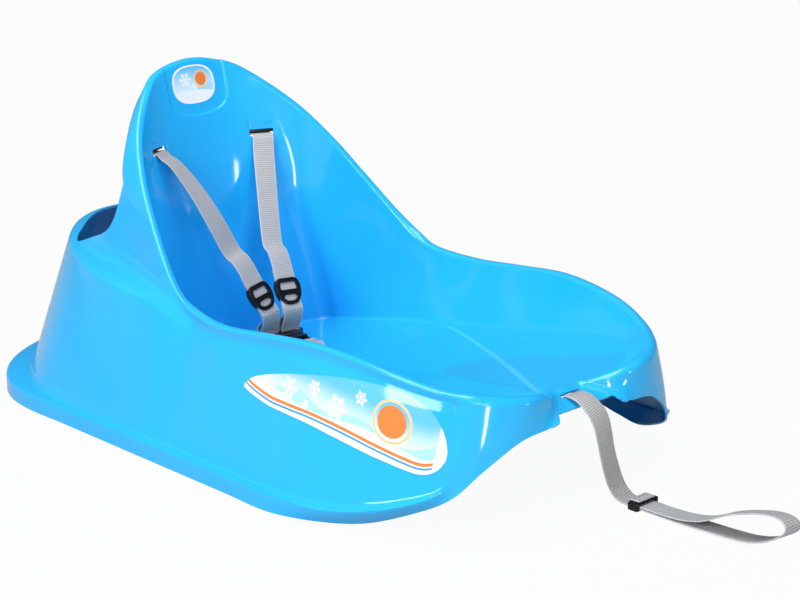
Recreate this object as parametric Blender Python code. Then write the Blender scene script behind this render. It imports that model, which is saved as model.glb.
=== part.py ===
"""Child's snow sled: one moulded shell, a buckled harness and a webbing tow strap.

Frame: metres, +Z up, +X forward, the sled's right side at -Y.  The origin is on the
ground under the middle of the shell, so the shell's lip stands on z = 0.
Places below are written in millimetres and turned into metres by MM.
"""
import bpy
import bmesh
import math
from mathutils import Matrix, Vector

for old in list(bpy.data.objects):
    bpy.data.objects.remove(old, do_unlink=True)

MM = 0.001

# Driving dimensions of the shell, in millimetres.  The sections are laid out about a
# middle that CENTRE_SHIFT then moves to the middle of the finished length.
CENTRE_SHIFT = 1.3
HALF_WIDTH = 240.0
WALL = 2.2
LIP_HEIGHT = 19.0
SKIRT_HALF_WIDTH = 231.0

# The floor of the seat: a ramp that climbs to the front, with a V-shaped crease
FLOOR_HEIGHT = 47.0
FLOOR_START_X = -123.0
FLOOR_SLOPE = 0.118
CREASE_OUTER = (55.5, 145.0)
CREASE_NOSE = (326.5, 0.0)
CREASE_RISE = 0.14
CREASE_SOFTNESS = 8.0

# Webbing, the slots that it passes and the bars that hold its looped ends
WEBBING_WIDTH = 25.0
WEBBING_THICKNESS = 1.5
SLOT_WIDTH = 29.0
SLOT_HEIGHT = 8.0
FLOOR_SLOT_HEIGHT = 7.0
SHOULDER_SLOT = (-184, 74, 274.5)
SHOULDER_SLOT_NORMAL = (0.893, -0.436, 0.116)
CROTCH_SLOT = (-4.5, 0.0, 60.0)
TOW_SLOT = (370.5, 0.0, 107.0)
STOP_LENGTH = 40.0
STOP_SIZE = 5.0
LOOP_RADIUS = 4.4


def curve_through(keys, t):
    """Point at parameter t on a smooth curve through keys, one key for each whole t."""
    last = len(keys) - 1
    i = min(int(t), last - 1)
    f = t - i
    a = Vector(keys[max(i - 1, 0)])
    b = Vector(keys[i])
    c = Vector(keys[i + 1])
    d = Vector(keys[min(i + 2, last)])
    if i == 0:
        a = 2 * b - c
    if i + 2 > last:
        d = 2 * c - b
    return 0.5 * (2 * b + (c - a) * f + (2 * a - 5 * b + 4 * c - d) * f * f
                  + (3 * b - a - 3 * c + d) * f ** 3)


def floor_height(x, y):
    """Height of the seat's floor; |y| on both sides, in millimetres."""
    y = abs(y)
    crown = 8.0 * min(max((x + 140.0) / 175.0, 0.0), 1.0)
    ramp = FLOOR_HEIGHT + FLOOR_SLOPE * (x - FLOOR_START_X) + crown * (y / 150.0) ** 2
    along = Vector((CREASE_NOSE[0] - CREASE_OUTER[0], CREASE_NOSE[1] - CREASE_OUTER[1]))
    along.normalize()
    beyond = -along[1] * (x - CREASE_OUTER[0]) + along[0] * (y - CREASE_OUTER[1])
    soft = (beyond + math.hypot(beyond, CREASE_SOFTNESS)) / 2
    return ramp + CREASE_RISE * soft


# Stations run round the half shell: 0 at the middle of the back, 3 to 8 up to the seat
# side, 8 to 14 along the side, 19 at the corner of the front land, 20 at the front middle.
LAST_STATION = 20
TIP_STATION = 4
LAND_STATION = 19
LAND_STEP = 4.0
LAND_EDGE = (388.5, 103.0)
FLANGE_END = 15
WALL_SWELL = 2.5
FRONT_FALL = [0.15, 0.3, 0.44, 0.58, 0.72, 0.86]

RIM = [
    (-220, 0, 366.5), (-217.5, 46, 358.5), (-203.5, 74, 343), (-168, 113, 305.5),
    (-131.5, 138, 266), (-94.5, 154, 227), (-56.5, 166.5, 190), (-24.5, 174, 164.5),
    (3.5, 178, 153.5), (60, 185.5, 149.5), (127.5, 184, 155.5), (191.5, 182, 161),
    (246.5, 176, 158.5), (294.5, 167.5, 151), (335.5, 151, 141.5), (361, 132, 136.5),
    (379, 107, 131.5), (388.5, 76, 128), (381, 46, 121.5), (364, 24, 115.5),
    (363.5, 0, 115.5)]
RIM_RADII = [3.8] * 5 + [4.1, 4.4, 4.8] + [5] * 9 + [4.6, 4.1, 3.7, 3.7]

FLOOR_EDGE = [
    (-173, 0), (-166, 60), (-143.5, 129), (-122, 137), (-104, 141.5), (-84, 145),
    (-60, 148), (-34, 150), (4, 150), (60, 150), (127, 150), (191, 150), (240, 149),
    (280, 145), (318, 135), (342, 118), (357, 94), (363, 66), (360, 40), (354, 18),
    (353, 0)]
FLOOR_MIDDLE = [
    -173, -162, -148, -128, -108, -87, -63, -36, 0, 55, 118, 178, 226, 262, 292, 314,
    329, 340, 347, 352, 353]

# Inner wall half way up: the back, hollow across, then the raised sides
WALL_MIDDLE = [
    (-191.5, 0, 250), (-185.5, 46, 250), (-165.5, 93, 235), (-145, 120, 190),
    (-120, 137.5, 165), (-90, 150, 145), (-59, 158, 126), (-30, 163, 116)]

# Outer side of the raised back: edge of its turned lip, valley at its foot, the edge
# of the hand hold behind it, and the ridge that runs round the rear.
LIP_EDGE = [
    (-230, 0, 352), (-227, 45, 343), (-212, 79, 334), (-181.5, 119, 301),
    (-158, 143, 259), (-103, 159.5, 214), (-61, 171.5, 183), (-26, 180, 160)]
VALLEY = [
    (-260, 0, 300), (-256, 48, 300), (-236, 90, 280), (-196, 128, 250),
    (-169, 155, 200), (-132, 161, 172), (-78, 173, 164), (-32, 183.5, 156)]
HOLD_EDGE = [
    (-338, 0, 177), (-335, 39, 177), (-318, 72, 176.5), (-291, 103, 175),
    (-247, 144.5, 171), (-180, 168, 168), (-112, 184, 163), (-42, 189, 153.5)]
RIDGE = [
    (-351, 0, 174), (-348, 46, 174), (-330, 83.5, 173.5), (-301, 116.5, 172.5),
    (-262, 147, 170), (-199, 177, 164), (-132, 194, 158), (-48, 194, 150.5)]

# The foot: a flange turned out all round, with a lip that stands on the ground
SKIRT_REAR_CENTRE = -160.5
SKIRT_REAR_DEPTH = 226.0
FLANGE_REAR_CENTRE = -224.5
FLANGE_REAR_DEPTH = 176.5
SKIRT_ANGLES = [0, 15, 29, 43, 57, 73]
FLANGE_ANGLES = [0, 18, 36, 53, 70, 88]
SIDE_X = [-150, -72, 4, 64, 130, 192]
FRONT_FLANGE = [
    (247, 232.5, 18), (298, 217, 25), (341, 190, 37.5), (367, 161, 53),
    (383, 133, 72), (393.5, 95, 93), (397, 60, 98), (399, 42, 102), (389, 0, 110)]
FRONT_LIP = [
    (244, 222, 0.5), (290, 200, 6), (334, 176, 23), (364, 158, 41),
    (381, 132, 67), (392.5, 95, 89.5), (396, 61, 94.5), (398, 46, 98.5), (388, 0, 107)]
FLANGE_WIDTHS = [9, 8.5, 7, 3, 1, 0.8, 0.8, 0.8, 0.8]


def rear_arc(centre, depth, half_width, angles, height):
    """Points on half an ellipse round the rear."""
    turns = [math.radians(angle) for angle in angles]
    return [(centre - depth * math.cos(a), half_width * math.sin(a), height) for a in turns]


def side_run(half_width, height):
    """Points along the straight side."""
    return [(x, half_width, height) for x in SIDE_X]


LIP = (rear_arc(FLANGE_REAR_CENTRE, FLANGE_REAR_DEPTH, HALF_WIDTH, FLANGE_ANGLES, 0)
       + side_run(HALF_WIDTH, 0) + FRONT_LIP)
FLANGE = (rear_arc(FLANGE_REAR_CENTRE, FLANGE_REAR_DEPTH, HALF_WIDTH, FLANGE_ANGLES, LIP_HEIGHT)
          + side_run(HALF_WIDTH, LIP_HEIGHT) + FRONT_FLANGE)
SKIRT = (rear_arc(SKIRT_REAR_CENTRE, SKIRT_REAR_DEPTH, SKIRT_HALF_WIDTH, SKIRT_ANGLES, LIP_HEIGHT)
         + side_run(SKIRT_HALF_WIDTH, LIP_HEIGHT))


def inside_flange():
    """Skirt foot round the front, a flange's width inside the flange's edge."""
    keys = []
    first = len(SKIRT)
    for i in range(first, LAST_STATION + 1):
        ahead = Vector(FLANGE[min(i + 1, LAST_STATION)]) - Vector(FLANGE[i - 1])
        inward = Vector((-ahead.y, ahead.x, 0)).normalized()
        if inward.dot(Vector(FLANGE[i])) > 0:
            inward.negate()
        rise = Vector((0, 0, 0.3 * FLANGE_WIDTHS[i - first]))
        keys.append(tuple(Vector(FLANGE[i]) + inward * FLANGE_WIDTHS[i - first] + rise))
    return keys


SKIRT += inside_flange()


def under_rim(fraction):
    """Keys a short way down the outer wall, where it falls straight from the rim."""
    keys = []
    for i in range(len(RIDGE_AT_REAR), LAST_STATION + 1):
        top = Vector(RIM[i]) - Vector((0, 0, RIM_RADII[i]))
        outward = Vector((SKIRT[i][0] - top.x, SKIRT[i][1] - top.y, 0)).normalized()
        swell = outward * WALL_SWELL * fraction / RIDGE_FRACTION
        keys.append(tuple(top.lerp(Vector(SKIRT[i]), fraction) + swell))
    return keys


RIDGE_AT_REAR = list(RIDGE)
RIDGE_FRACTION = 0.14
LIP_EDGE += under_rim(0.04)
VALLEY += under_rim(0.07)
HOLD_EDGE += under_rim(0.10)
RIDGE += under_rim(RIDGE_FRACTION)

for key in range(len(WALL_MIDDLE), LAST_STATION + 1):
    edge_x, edge_y = FLOOR_EDGE[key]
    foot = Vector((edge_x, edge_y, floor_height(edge_x, edge_y)))
    WALL_MIDDLE.append(tuple(foot.lerp(Vector(RIM[key]), 0.5)))


def rounded(points, radii, arc_steps, run_steps):
    """A polyline with each inner corner rounded, always with the same point count."""
    out = [points[0]]
    cursor = points[0]
    for i in range(1, len(points) - 1):
        before = points[i - 1] - points[i]
        after = points[i + 1] - points[i]
        r = min(radii[i], 0.45 * before.length, 0.45 * after.length)
        start = points[i] + before.normalized() * r
        end = points[i] + after.normalized() * r
        out += [cursor.lerp(start, k / run_steps[i]) for k in range(1, run_steps[i] + 1)]
        for k in range(1, arc_steps[i] + 1):
            f = k / arc_steps[i]
            out.append(start.lerp(points[i], f).lerp(points[i].lerp(end, f), f))
        cursor = end
    out += [cursor.lerp(points[-1], k / run_steps[-1]) for k in range(1, run_steps[-1] + 1)]
    return out


# Corners of one section, from the seat's middle line to the lip's foot
CORNER_RADII = [0, 14, 60, 5, 5, 6, 30, 4, 9, 10, 3, 0]
ARC_STEPS = [0, 2, 1, 2, 2, 1, 1, 1, 2, 1, 1, 0]
RUN_STEPS = [0, 3, 1, 1, 1, 1, 1, 1, 1, 2, 1, 1]
LIP_EDGE_CORNER = 5
HOLD_EDGE_CORNER = 7


def number_through(values, t):
    """A number at parameter t on a smooth curve through values."""
    return curve_through([(value, 0, 0) for value in values], t).x


def section(t):
    """Corner points of the section at station t."""
    edge = curve_through([(x, y, 0) for x, y in FLOOR_EDGE], t)
    middle_x = number_through(FLOOR_MIDDLE, t)
    middle = Vector((middle_x, 0, floor_height(middle_x, 0)))
    floor_foot = Vector((edge.x, edge.y, floor_height(edge.x, edge.y)))
    wall = curve_through(WALL_MIDDLE, t)
    top = curve_through(RIM, t)
    lip_edge = curve_through(LIP_EDGE, t)
    along = curve_through(RIM, min(t + 0.05, LAST_STATION)) - curve_through(RIM, max(t - 0.05, 0))
    if t in (0, LAST_STATION):
        along = Vector((0, 1, 0))
    along.normalize()
    inner_way = top - wall
    inner_way -= along * inner_way.dot(along)
    outer_way = top - lip_edge
    outer_way -= along * outer_way.dot(along)
    up = (inner_way.normalized() + outer_way.normalized()).normalized()
    across = along.cross(up)
    if across.dot(lip_edge - wall) < 0:
        across.negate()
    radius = number_through(RIM_RADII, t)
    points = [middle, floor_foot, wall, top - across * radius, top + across * radius,
              lip_edge, curve_through(VALLEY, t), curve_through(HOLD_EDGE, t),
              curve_through(RIDGE, t), curve_through(SKIRT, t), curve_through(FLANGE, t),
              curve_through(LIP, t)]
    if t > LAND_STATION:
        points[LIP_EDGE_CORNER - 1].z -= LAND_STEP
        points[-1].x, points[-1].z = LAND_EDGE
    if t >= FLANGE_END:
        fall = points[-1] - points[LIP_EDGE_CORNER - 1]
        outward = Vector((fall.x, fall.y, 0)).normalized()
        for i, f in enumerate(FRONT_FALL):
            swell = outward * WALL_SWELL * math.sin(math.pi * f)
            points[LIP_EDGE_CORNER + i] = points[LIP_EDGE_CORNER - 1] + fall * f + swell
    return points


def row_of_corner(index):
    """Row number at which corner number index of a section has been passed."""
    return sum(RUN_STEPS[1:index + 1]) + sum(ARC_STEPS[1:index + 1])


STATIONS = ([k / 2 for k in range(0, 17)] + [9, 10, 11, 12, 13]
            + [13 + k / 2 for k in range(1, 12)] + [19, 19.2, 19.6, 20])


def add_object(name, bm, finish, origin=None, smooth_angle=math.radians(35)):
    """Turn a bmesh in millimetres into a named object in metres, with its own material.

    finish is a colour and a roughness.  With an origin, the object's own origin is there.
    """
    shift = Vector((CENTRE_SHIFT, 0, 0))
    place = Vector(origin) + shift if origin else Vector()
    bmesh.ops.translate(bm, vec=shift - place, verts=bm.verts)
    bmesh.ops.scale(bm, vec=(MM, MM, MM), verts=bm.verts)
    mesh = bpy.data.meshes.new(name)
    bm.to_mesh(mesh)
    bm.free()
    mesh.shade_smooth()
    mesh.set_sharp_from_angle(angle=smooth_angle)
    colour, roughness = finish
    mat = bpy.data.materials.new(name)
    mat.use_nodes = True
    shader = mat.node_tree.nodes["Principled BSDF"]
    shader.inputs["Base Color"].default_value = (*colour, 1.0)
    shader.inputs["Roughness"].default_value = roughness
    shader.inputs["Metallic"].default_value = 0.0
    mesh.materials.append(mat)
    obj = bpy.data.objects.new(name, mesh)
    bpy.context.collection.objects.link(obj)
    obj.location = place * MM
    return obj


BLUE_PLASTIC = ((0.03, 0.42, 0.95), 0.22)
GREY_WEBBING = ((0.42, 0.43, 0.45), 0.85)
BLACK_PLASTIC = ((0.012, 0.012, 0.014), 0.35)
WHITE_FILM = ((0.88, 0.92, 0.96), 0.3)


def reshape(obj, operation, bm):
    """Cut a bmesh from an object, or join it on; the shape used stays as a hidden guide."""
    guide = add_object(obj.name + "_" + operation.lower(), bm, BLACK_PLASTIC)
    guide.hide_render = True
    guide.display_type = "WIRE"
    boolean = obj.modifiers.new(operation.lower(), "BOOLEAN")
    boolean.operation = operation
    boolean.solver = "EXACT"
    boolean.object = guide


def frame_at(centre, x_way, y_way):
    """Matrix that takes local millimetres to the sled's frame."""
    x_axis = Vector(x_way).normalized()
    y_axis = (Vector(y_way) - x_axis * x_axis.dot(Vector(y_way))).normalized()
    z_axis = x_axis.cross(y_axis)
    turn = Matrix((x_axis, y_axis, z_axis)).transposed()
    return Matrix.Translation(Vector(centre)) @ turn.to_4x4()


def box(bm, low, high):
    """Add an upright box between two corners."""
    middle = (Vector(low) + Vector(high)) / 2
    size = Vector(high) - Vector(low)
    bmesh.ops.create_cube(bm, matrix=Matrix.Translation(middle) @ Matrix.Diagonal((*size, 1)))


def boxes(frame, *corners):
    """A bmesh of separate boxes, given as low and high corners in a local frame."""
    bm = bmesh.new()
    for low, high in corners:
        box(bm, low, high)
    bmesh.ops.transform(bm, matrix=frame, verts=bm.verts)
    return bm


def rounded_rectangle(length, width, radius, steps=5):
    """Outline round the origin, length along x and width along y."""
    points = []
    for quarter, (sx, sy) in enumerate(((1, 1), (-1, 1), (-1, -1), (1, -1))):
        for k in range(steps + 1):
            a = math.radians(90 * (quarter + k / steps))
            points.append((sx * (length / 2 - radius) + radius * math.cos(a),
                           sy * (width / 2 - radius) + radius * math.sin(a)))
    return points


def slab(outline, low, high, edge=0.0):
    """A plate with the given outline, from low to high, its rims rounded over by edge."""
    bm = bmesh.new()
    floor = [bm.verts.new((x, y, low)) for x, y in outline]
    roof = [bm.verts.new((x, y, high)) for x, y in outline]
    bm.faces.new(floor)
    bm.faces.new(roof)
    for k in range(len(outline)):
        after = (k + 1) % len(outline)
        bm.faces.new((floor[k], floor[after], roof[after], roof[k]))
    bmesh.ops.recalc_face_normals(bm, faces=bm.faces)
    if edge:
        rims = [e for e in bm.edges if abs(e.verts[0].co.z - e.verts[1].co.z) < 0.001]
        bmesh.ops.bevel(bm, geom=rims, offset=edge, segments=2, profile=0.5, affect="EDGES")
    return bm


RIBBON_STEPS = 3


def ribbon(keys):
    """Flat webbing along keys of (point, direction of the width), with closed ends."""
    centres = [point for point, way in keys]
    ways = [Vector(way).normalized() for point, way in keys]
    bm = bmesh.new()
    rings = []
    last = len(keys) - 1
    for k in range(last * RIBBON_STEPS + 1):
        t = k / RIBBON_STEPS
        centre = curve_through(centres, t)
        ahead = curve_through(centres, min(t + 0.02, last))
        ahead -= curve_through(centres, max(t - 0.02, 0))
        ahead.normalize()
        way = curve_through(ways, t)
        way = (way - ahead * ahead.dot(way)).normalized()
        half_width = way * WEBBING_WIDTH / 2
        half_depth = ahead.cross(way) * WEBBING_THICKNESS / 2
        rings.append([bm.verts.new(centre + half_width * a + half_depth * b)
                      for a, b in ((1, 1), (-1, 1), (-1, -1), (1, -1))])
    for before, after in zip(rings, rings[1:]):
        for k in range(4):
            bm.faces.new((before[k], before[(k + 1) % 4], after[(k + 1) % 4], after[k]))
    bm.faces.new(rings[0])
    bm.faces.new(rings[-1])
    bmesh.ops.recalc_face_normals(bm, faces=bm.faces)
    return bm


def loop_round(centre, out, side, width_way, radius=LOOP_RADIUS):
    """Keys of webbing wrapped round a bar, from its sewn end to where it leaves along out."""
    keys = []
    for degrees in (-40, -85, -130, -175, -220, -270):
        a = math.radians(degrees)
        offset = Vector(out) * math.cos(a) + Vector(side) * math.sin(a)
        keys.append((tuple(Vector(centre) + offset * radius), width_way))
    return keys


def stop_bar(name, frame):
    """The bar in a loop's end; longer than the slot, so that it can't pull through."""
    outline = rounded_rectangle(STOP_SIZE, STOP_LENGTH, 1.0, 2)
    bm = slab(outline, -STOP_SIZE / 2, STOP_SIZE / 2, 0.8)
    bmesh.ops.transform(bm, matrix=frame, verts=bm.verts)
    return add_object(name, bm, BLACK_PLASTIC)


def build_shell():
    """The one-piece moulding: seat, back, rim, skirt, flange and lip, with its slots."""
    bm = bmesh.new()
    grid = []
    for t in STATIONS:
        rows = rounded(section(t), CORNER_RADII, ARC_STEPS, RUN_STEPS)
        for p in rows:
            if t in (0, LAST_STATION):
                p.y = 0
        grid.append([bm.verts.new(p) for p in rows])
    hole_start = row_of_corner(LIP_EDGE_CORNER)
    hole_end = row_of_corner(HOLD_EDGE_CORNER)
    for i in range(len(STATIONS) - 1):
        behind = STATIONS[i + 1] <= TIP_STATION
        for j in range(len(grid[0]) - 1):
            if behind and hole_start <= j < hole_end:
                continue
            bm.faces.new((grid[i][j], grid[i + 1][j], grid[i + 1][j + 1], grid[i][j + 1]))
    bmesh.ops.remove_doubles(bm, verts=bm.verts, dist=0.02)
    bmesh.ops.delete(bm, geom=[v for v in bm.verts if not v.link_faces], context="VERTS")
    shell = add_object("shell", bm, BLUE_PLASTIC)
    mirror = shell.modifiers.new("two_sides", "MIRROR")
    mirror.use_axis = (False, True, False)
    mirror.merge_threshold = 0.0001
    wall = shell.modifiers.new("wall", "SOLIDIFY")
    wall.thickness = WALL * MM
    wall.offset = -1
    slots = bmesh.new()
    for side in (-1, 1):
        opening = boxes(slot_frame(side), ((-8, -SLOT_WIDTH / 2, -SLOT_HEIGHT / 2),
                                           (8, SLOT_WIDTH / 2, SLOT_HEIGHT / 2)))
        mesh = bpy.data.meshes.new("slot")
        opening.to_mesh(mesh)
        opening.free()
        slots.from_mesh(mesh)
        bpy.data.meshes.remove(mesh)
    for x, y, z in (CROTCH_SLOT, TOW_SLOT):
        box(slots, (x - FLOOR_SLOT_HEIGHT / 2, y - SLOT_WIDTH / 2, z - 8),
            (x + FLOOR_SLOT_HEIGHT / 2, y + SLOT_WIDTH / 2, z + 8))
    reshape(shell, "DIFFERENCE", slots)
    return shell


def slot_frame(side):
    """Local frame of a shoulder slot: x out of the wall, y along the slot, z up."""
    x, y, z = SHOULDER_SLOT
    nx, ny, nz = SHOULDER_SLOT_NORMAL
    return frame_at((x, side * y, z), (nx, side * ny, nz), (-side * ny, nx, 0))


# Harness.  A local frame has x along the webbing, y across it and z out of its face.
ADJUSTER_LENGTH = 32.0
ADJUSTER_WIDTH = 32.0
LAYER_STEP = 1.9
CHANNEL_HALF_WIDTH = 13.2
BUCKLE_FRAME = frame_at((-84, 10, 65), (0.9854, -0.1227, 0.03), (0.1236, 0.9923, 0))
ADJUSTER_FRAMES = {
    "right": frame_at((-88, -10.5, 112), (0.49, 0.2, -0.85), (-0.1, 0.96, 0.22)),
    "left": frame_at((-84, 26, 112), (0.503, -0.121, -0.856), (0.2, 0.97, -0.02))}
SIDES = {"right": -1, "left": 1}
STRAP_HANG = 8.0
STRAP_BULGES = {"right": (7.5, 10, 6.5), "left": (-2, -2, -2)}
BUCKLE_LANE = 14.5
BAR_TURN_RADIUS = 3.1


def at(frame, x, y, z):
    """A local point in the sled's frame."""
    return tuple(frame @ Vector((x, y, z)))


def hang(along):
    """How far a shoulder strap hangs out of its lock's plane, that far along the lock."""
    return -STRAP_HANG * (min(0, along + 36) / 26) ** 2


def shoulder_strap(name):
    """Webbing from its loop behind the back, through the lock, round the buckle's bar
    and back up through the lock, where its tail ends."""
    side = SIDES[name]
    slot = slot_frame(side)
    lock = ADJUSTER_FRAMES[name]
    slot_way = slot.to_3x3() @ Vector((0, 1, 0))
    lock_way = lock.to_3x3() @ Vector((0, 1, 0))
    bar_way = BUCKLE_FRAME.to_3x3() @ Vector((0, 1, 0))
    out = slot.to_3x3() @ Vector((1, 0, 0))
    down = slot.to_3x3() @ Vector((0, 0, -1))
    keys = loop_round(at(slot, -9, 0, 2.2), out, down, slot_way)
    keys += [(at(slot, -5, 0, -1.9), slot_way), (at(slot, -1, 0, -1.9), slot_way),
             (at(slot, 2.6, 0, -3.4), slot_way), (at(slot, 6.2, 0, -7.6), slot_way)]
    start = Vector(at(slot, 6.2, 0, -7.6))
    end = Vector(at(lock, -62, 0, hang(-62)))
    face = lock.to_3x3() @ Vector((0, 0, 1))
    for f, bulge in zip((0.12, 0.4, 0.7), STRAP_BULGES[name]):
        turned = slot_way.lerp(lock_way, min(1, 1.3 * f))
        keys.append((tuple(start.lerp(end, f) + face * bulge), turned))
    keys += [(at(lock, x, 0, hang(x)), lock_way) for x in (-62, -50, -43, -36, -28, -11, 0, 15, 22)]
    lane = side * BUCKLE_LANE
    between_ways = lock_way.lerp(bar_way, 0.5)
    front = Vector(at(BUCKLE_FRAME, BAR_TURN_RADIUS, lane, 6))
    middle = Vector(at(lock, 22, 0, 0)).lerp(front, 0.45) + Vector((1.6, 0, 0))
    keys += [(tuple(middle), between_ways), (tuple(front), bar_way)]
    for degrees in (0, 45, 90, 135, 180):
        a = math.radians(degrees)
        keys.append((at(BUCKLE_FRAME, BAR_TURN_RADIUS * math.cos(a), lane,
                        -2 - BAR_TURN_RADIUS * math.sin(a)), bar_way))
    back = Vector(at(BUCKLE_FRAME, -BAR_TURN_RADIUS, lane, 5))
    below_lock = Vector(at(lock, 25, 0, -5.6))
    middle = back.lerp(below_lock, 0.5) + Vector((-3.2, 0, 0))
    keys += [(tuple(back), bar_way), (tuple(middle), between_ways), (tuple(below_lock), lock_way)]
    keys += [(at(lock, x, 0, hang(x) - LAYER_STEP), lock_way) for x in (16, 6, -6, -17, -28)]
    return add_object("shoulder_strap_" + name, ribbon(keys), GREY_WEBBING)


def adjuster(name):
    """The oval lock: a channel for two layers of webbing under a face with two windows."""
    frame = ADJUSTER_FRAMES[name]
    bm = slab(rounded_rectangle(ADJUSTER_LENGTH, ADJUSTER_WIDTH, 11, 5), -4.9, 2.9, 1.3)
    bmesh.ops.transform(bm, matrix=frame, verts=bm.verts)
    lock = add_object("adjuster_" + name, bm, BLACK_PLASTIC, origin=tuple(frame.translation))
    reshape(lock, "DIFFERENCE", boxes(frame, ((-20, -CHANNEL_HALF_WIDTH, -3.1),
                                              (20, CHANNEL_HALF_WIDTH, 1.1))))
    reshape(lock, "DIFFERENCE", boxes(frame, ((-10.5, -10, 0.5), (-1.8, 10, 5)),
                                      ((4.2, -8.5, 0.5), (11.4, 8.5, 5)),
                                      ((-8, -10, -7), (8, 10, -2.5))))
    return lock


def buckle_socket():
    """Half of the buckle: a yoke with a window for each shoulder strap, and a mouth."""
    yoke = [(-1.75, -30), (6, -30), (9, -28), (16, -16), (24, -16), (24, 16), (16, 16), (9, 28),
            (6, 30), (-1.75, 30)]
    bm = slab(yoke, -2.5, 2.5, 0.6)
    bmesh.ops.transform(bm, matrix=BUCKLE_FRAME, verts=bm.verts)
    socket = add_object("buckle_socket", bm, BLACK_PLASTIC)
    mouth = slab([(x + 19, y) for x, y in rounded_rectangle(18, 34, 3, 2)], -5, 5, 1.5)
    bmesh.ops.transform(mouth, matrix=BUCKLE_FRAME, verts=mouth.verts)
    reshape(socket, "UNION", mouth)
    reshape(socket, "DIFFERENCE", boxes(BUCKLE_FRAME, ((1.75, -28, -6), (6.75, -1, 6)),
                                        ((1.75, 1, -6), (6.75, 28, 6)),
                                        ((17, -13.5, -3), (32, 13.5, 3))))
    return socket


def buckle_plug():
    """The other half: two prongs in the mouth, a grip, and a slot with its bar."""
    bm = slab([(x + 32.3, y) for x, y in rounded_rectangle(7.4, 34, 2, 2)], -4.3, 4.3, 1.0)
    bmesh.ops.transform(bm, matrix=BUCKLE_FRAME, verts=bm.verts)
    plug = add_object("buckle_plug", bm, BLACK_PLASTIC, origin=at(BUCKLE_FRAME, 32.3, 0, 0))
    reshape(plug, "UNION", boxes(BUCKLE_FRAME, ((34, -16, -2.2), (54.75, 16, 2.2)),
                                 ((19, 7, -2.3), (30, 12, 2.3)),
                                 ((19, -12, -2.3), (30, -7, 2.3))))
    reshape(plug, "DIFFERENCE", boxes(BUCKLE_FRAME, ((38, -13.2, -4), (51.25, 13.2, 4))))
    return plug


def crotch_strap():
    """Webbing looped on the plug's bar, over a hump and down through the floor's slot."""
    way = BUCKLE_FRAME.to_3x3() @ Vector((0, 1, 0))
    x, y, z = CROTCH_SLOT
    across = Vector((0, 1, 0))
    keys = [(at(BUCKLE_FRAME, 67, 0, -3.9), way), (at(BUCKLE_FRAME, 60, 0, -3.9), way)]
    for degrees in (0, 45, 90, 135, 180):
        a = math.radians(degrees)
        keys.append((at(BUCKLE_FRAME, 53 - 3.9 * math.sin(a), 0, -3.9 * math.cos(a)), way))
    keys += [(at(BUCKLE_FRAME, 60, 0, 3.9), way), (at(BUCKLE_FRAME, 67, 0, 3.9), way),
             ((x - 6, y + 0.6, z + 11), way.lerp(across, 0.5)),
             ((x - 1.4, y, z + 7), across), ((x - 0.5, y, z + 2), across)]
    tail = loop_round((x - 0.5 + LOOP_RADIUS, y, z - 10), (0, 0, 1), (-1, 0, 0), across)
    return add_object("crotch_strap", ribbon(keys + tail[::-1]), GREY_WEBBING)


# Tow strap.  From the front slot it falls to the ground and runs forward through a slider
# to a standing hand loop.  The fall's places each have the turn of the width, in degrees;
# the loop's far edge lies lower by LOOP_LEAN of its height for each millimetre of width.
TOW_FALL = [
    (373.5, -0.6, 110, 0), (381, -1.2, 110.6, 0), (389.5, -1, 108.6, 0), (397.5, 0, 103, -1),
    (403.5, 2.5, 95, 0), (406.8, 5, 84.5, 3), (408, 8, 71, 6), (407.8, 12, 57, 8),
    (407.2, 17.5, 42, 8.5), (406.4, 24, 28, 8), (406.6, 28.5, 18.5, 7), (409.2, 32.2, 9.8, 4),
    (414.8, 34.4, 4, 2), (422, 35.2, 2.3, 0)]
TOW_LANE = 35.3
TOW_SLIDER_X = 436.0
TOW_SLIDER_LENGTH = 13.0
TOW_SLIDER_WIDTH = 34.0
TOW_LAYERS = (2.1, 4.0)
LOOP_LEAN = 0.0042
HAND_LOOP = [
    (447, 2.1), (460, 2), (478, 2), (497, 2.4), (515, 3.2), (534, 4), (552, 5), (568, 6.8),
    (581, 9.8), (592, 14), (602, 19.6), (610.5, 26), (613.2, 32), (609.6, 37.4), (601, 39.6),
    (589, 38.8), (577, 36.2), (566, 33), (555, 29.4), (544, 25), (534, 20), (524, 14.8),
    (513, 10.4), (501, 7.4), (488, 5.4), (473, 4.3), (459, 4), (447, 4)]


def tow_strap():
    """Webbing from its loop under the front land to the hand loop and back to the slider."""
    x, y, z = TOW_SLOT
    across = Vector((0, 1, 0))
    keys = loop_round((x - LOOP_RADIUS, y, z - 10.5), (0, 0, 1), (1, 0, 0), across)
    keys += [((x, y, z - 3), across), ((x + 0.6, y - 0.4, z + 2), across)]
    for px, py, pz, turn in TOW_FALL:
        a = math.radians(turn)
        keys.append(((px, py, pz), Vector((-math.sin(a), math.cos(a), 0))))
    keys.append(((TOW_SLIDER_X - 7, TOW_LANE, TOW_LAYERS[0]), across))
    keys.append(((TOW_SLIDER_X, TOW_LANE, TOW_LAYERS[0]), across))
    keys += [((px, TOW_LANE, pz), Vector((0, 1, -LOOP_LEAN * pz))) for px, pz in HAND_LOOP]
    keys += [((TOW_SLIDER_X + ahead, TOW_LANE, TOW_LAYERS[1]), across) for ahead in (0, -9)]
    return add_object("tow_strap", ribbon(keys), GREY_WEBBING)


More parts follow.
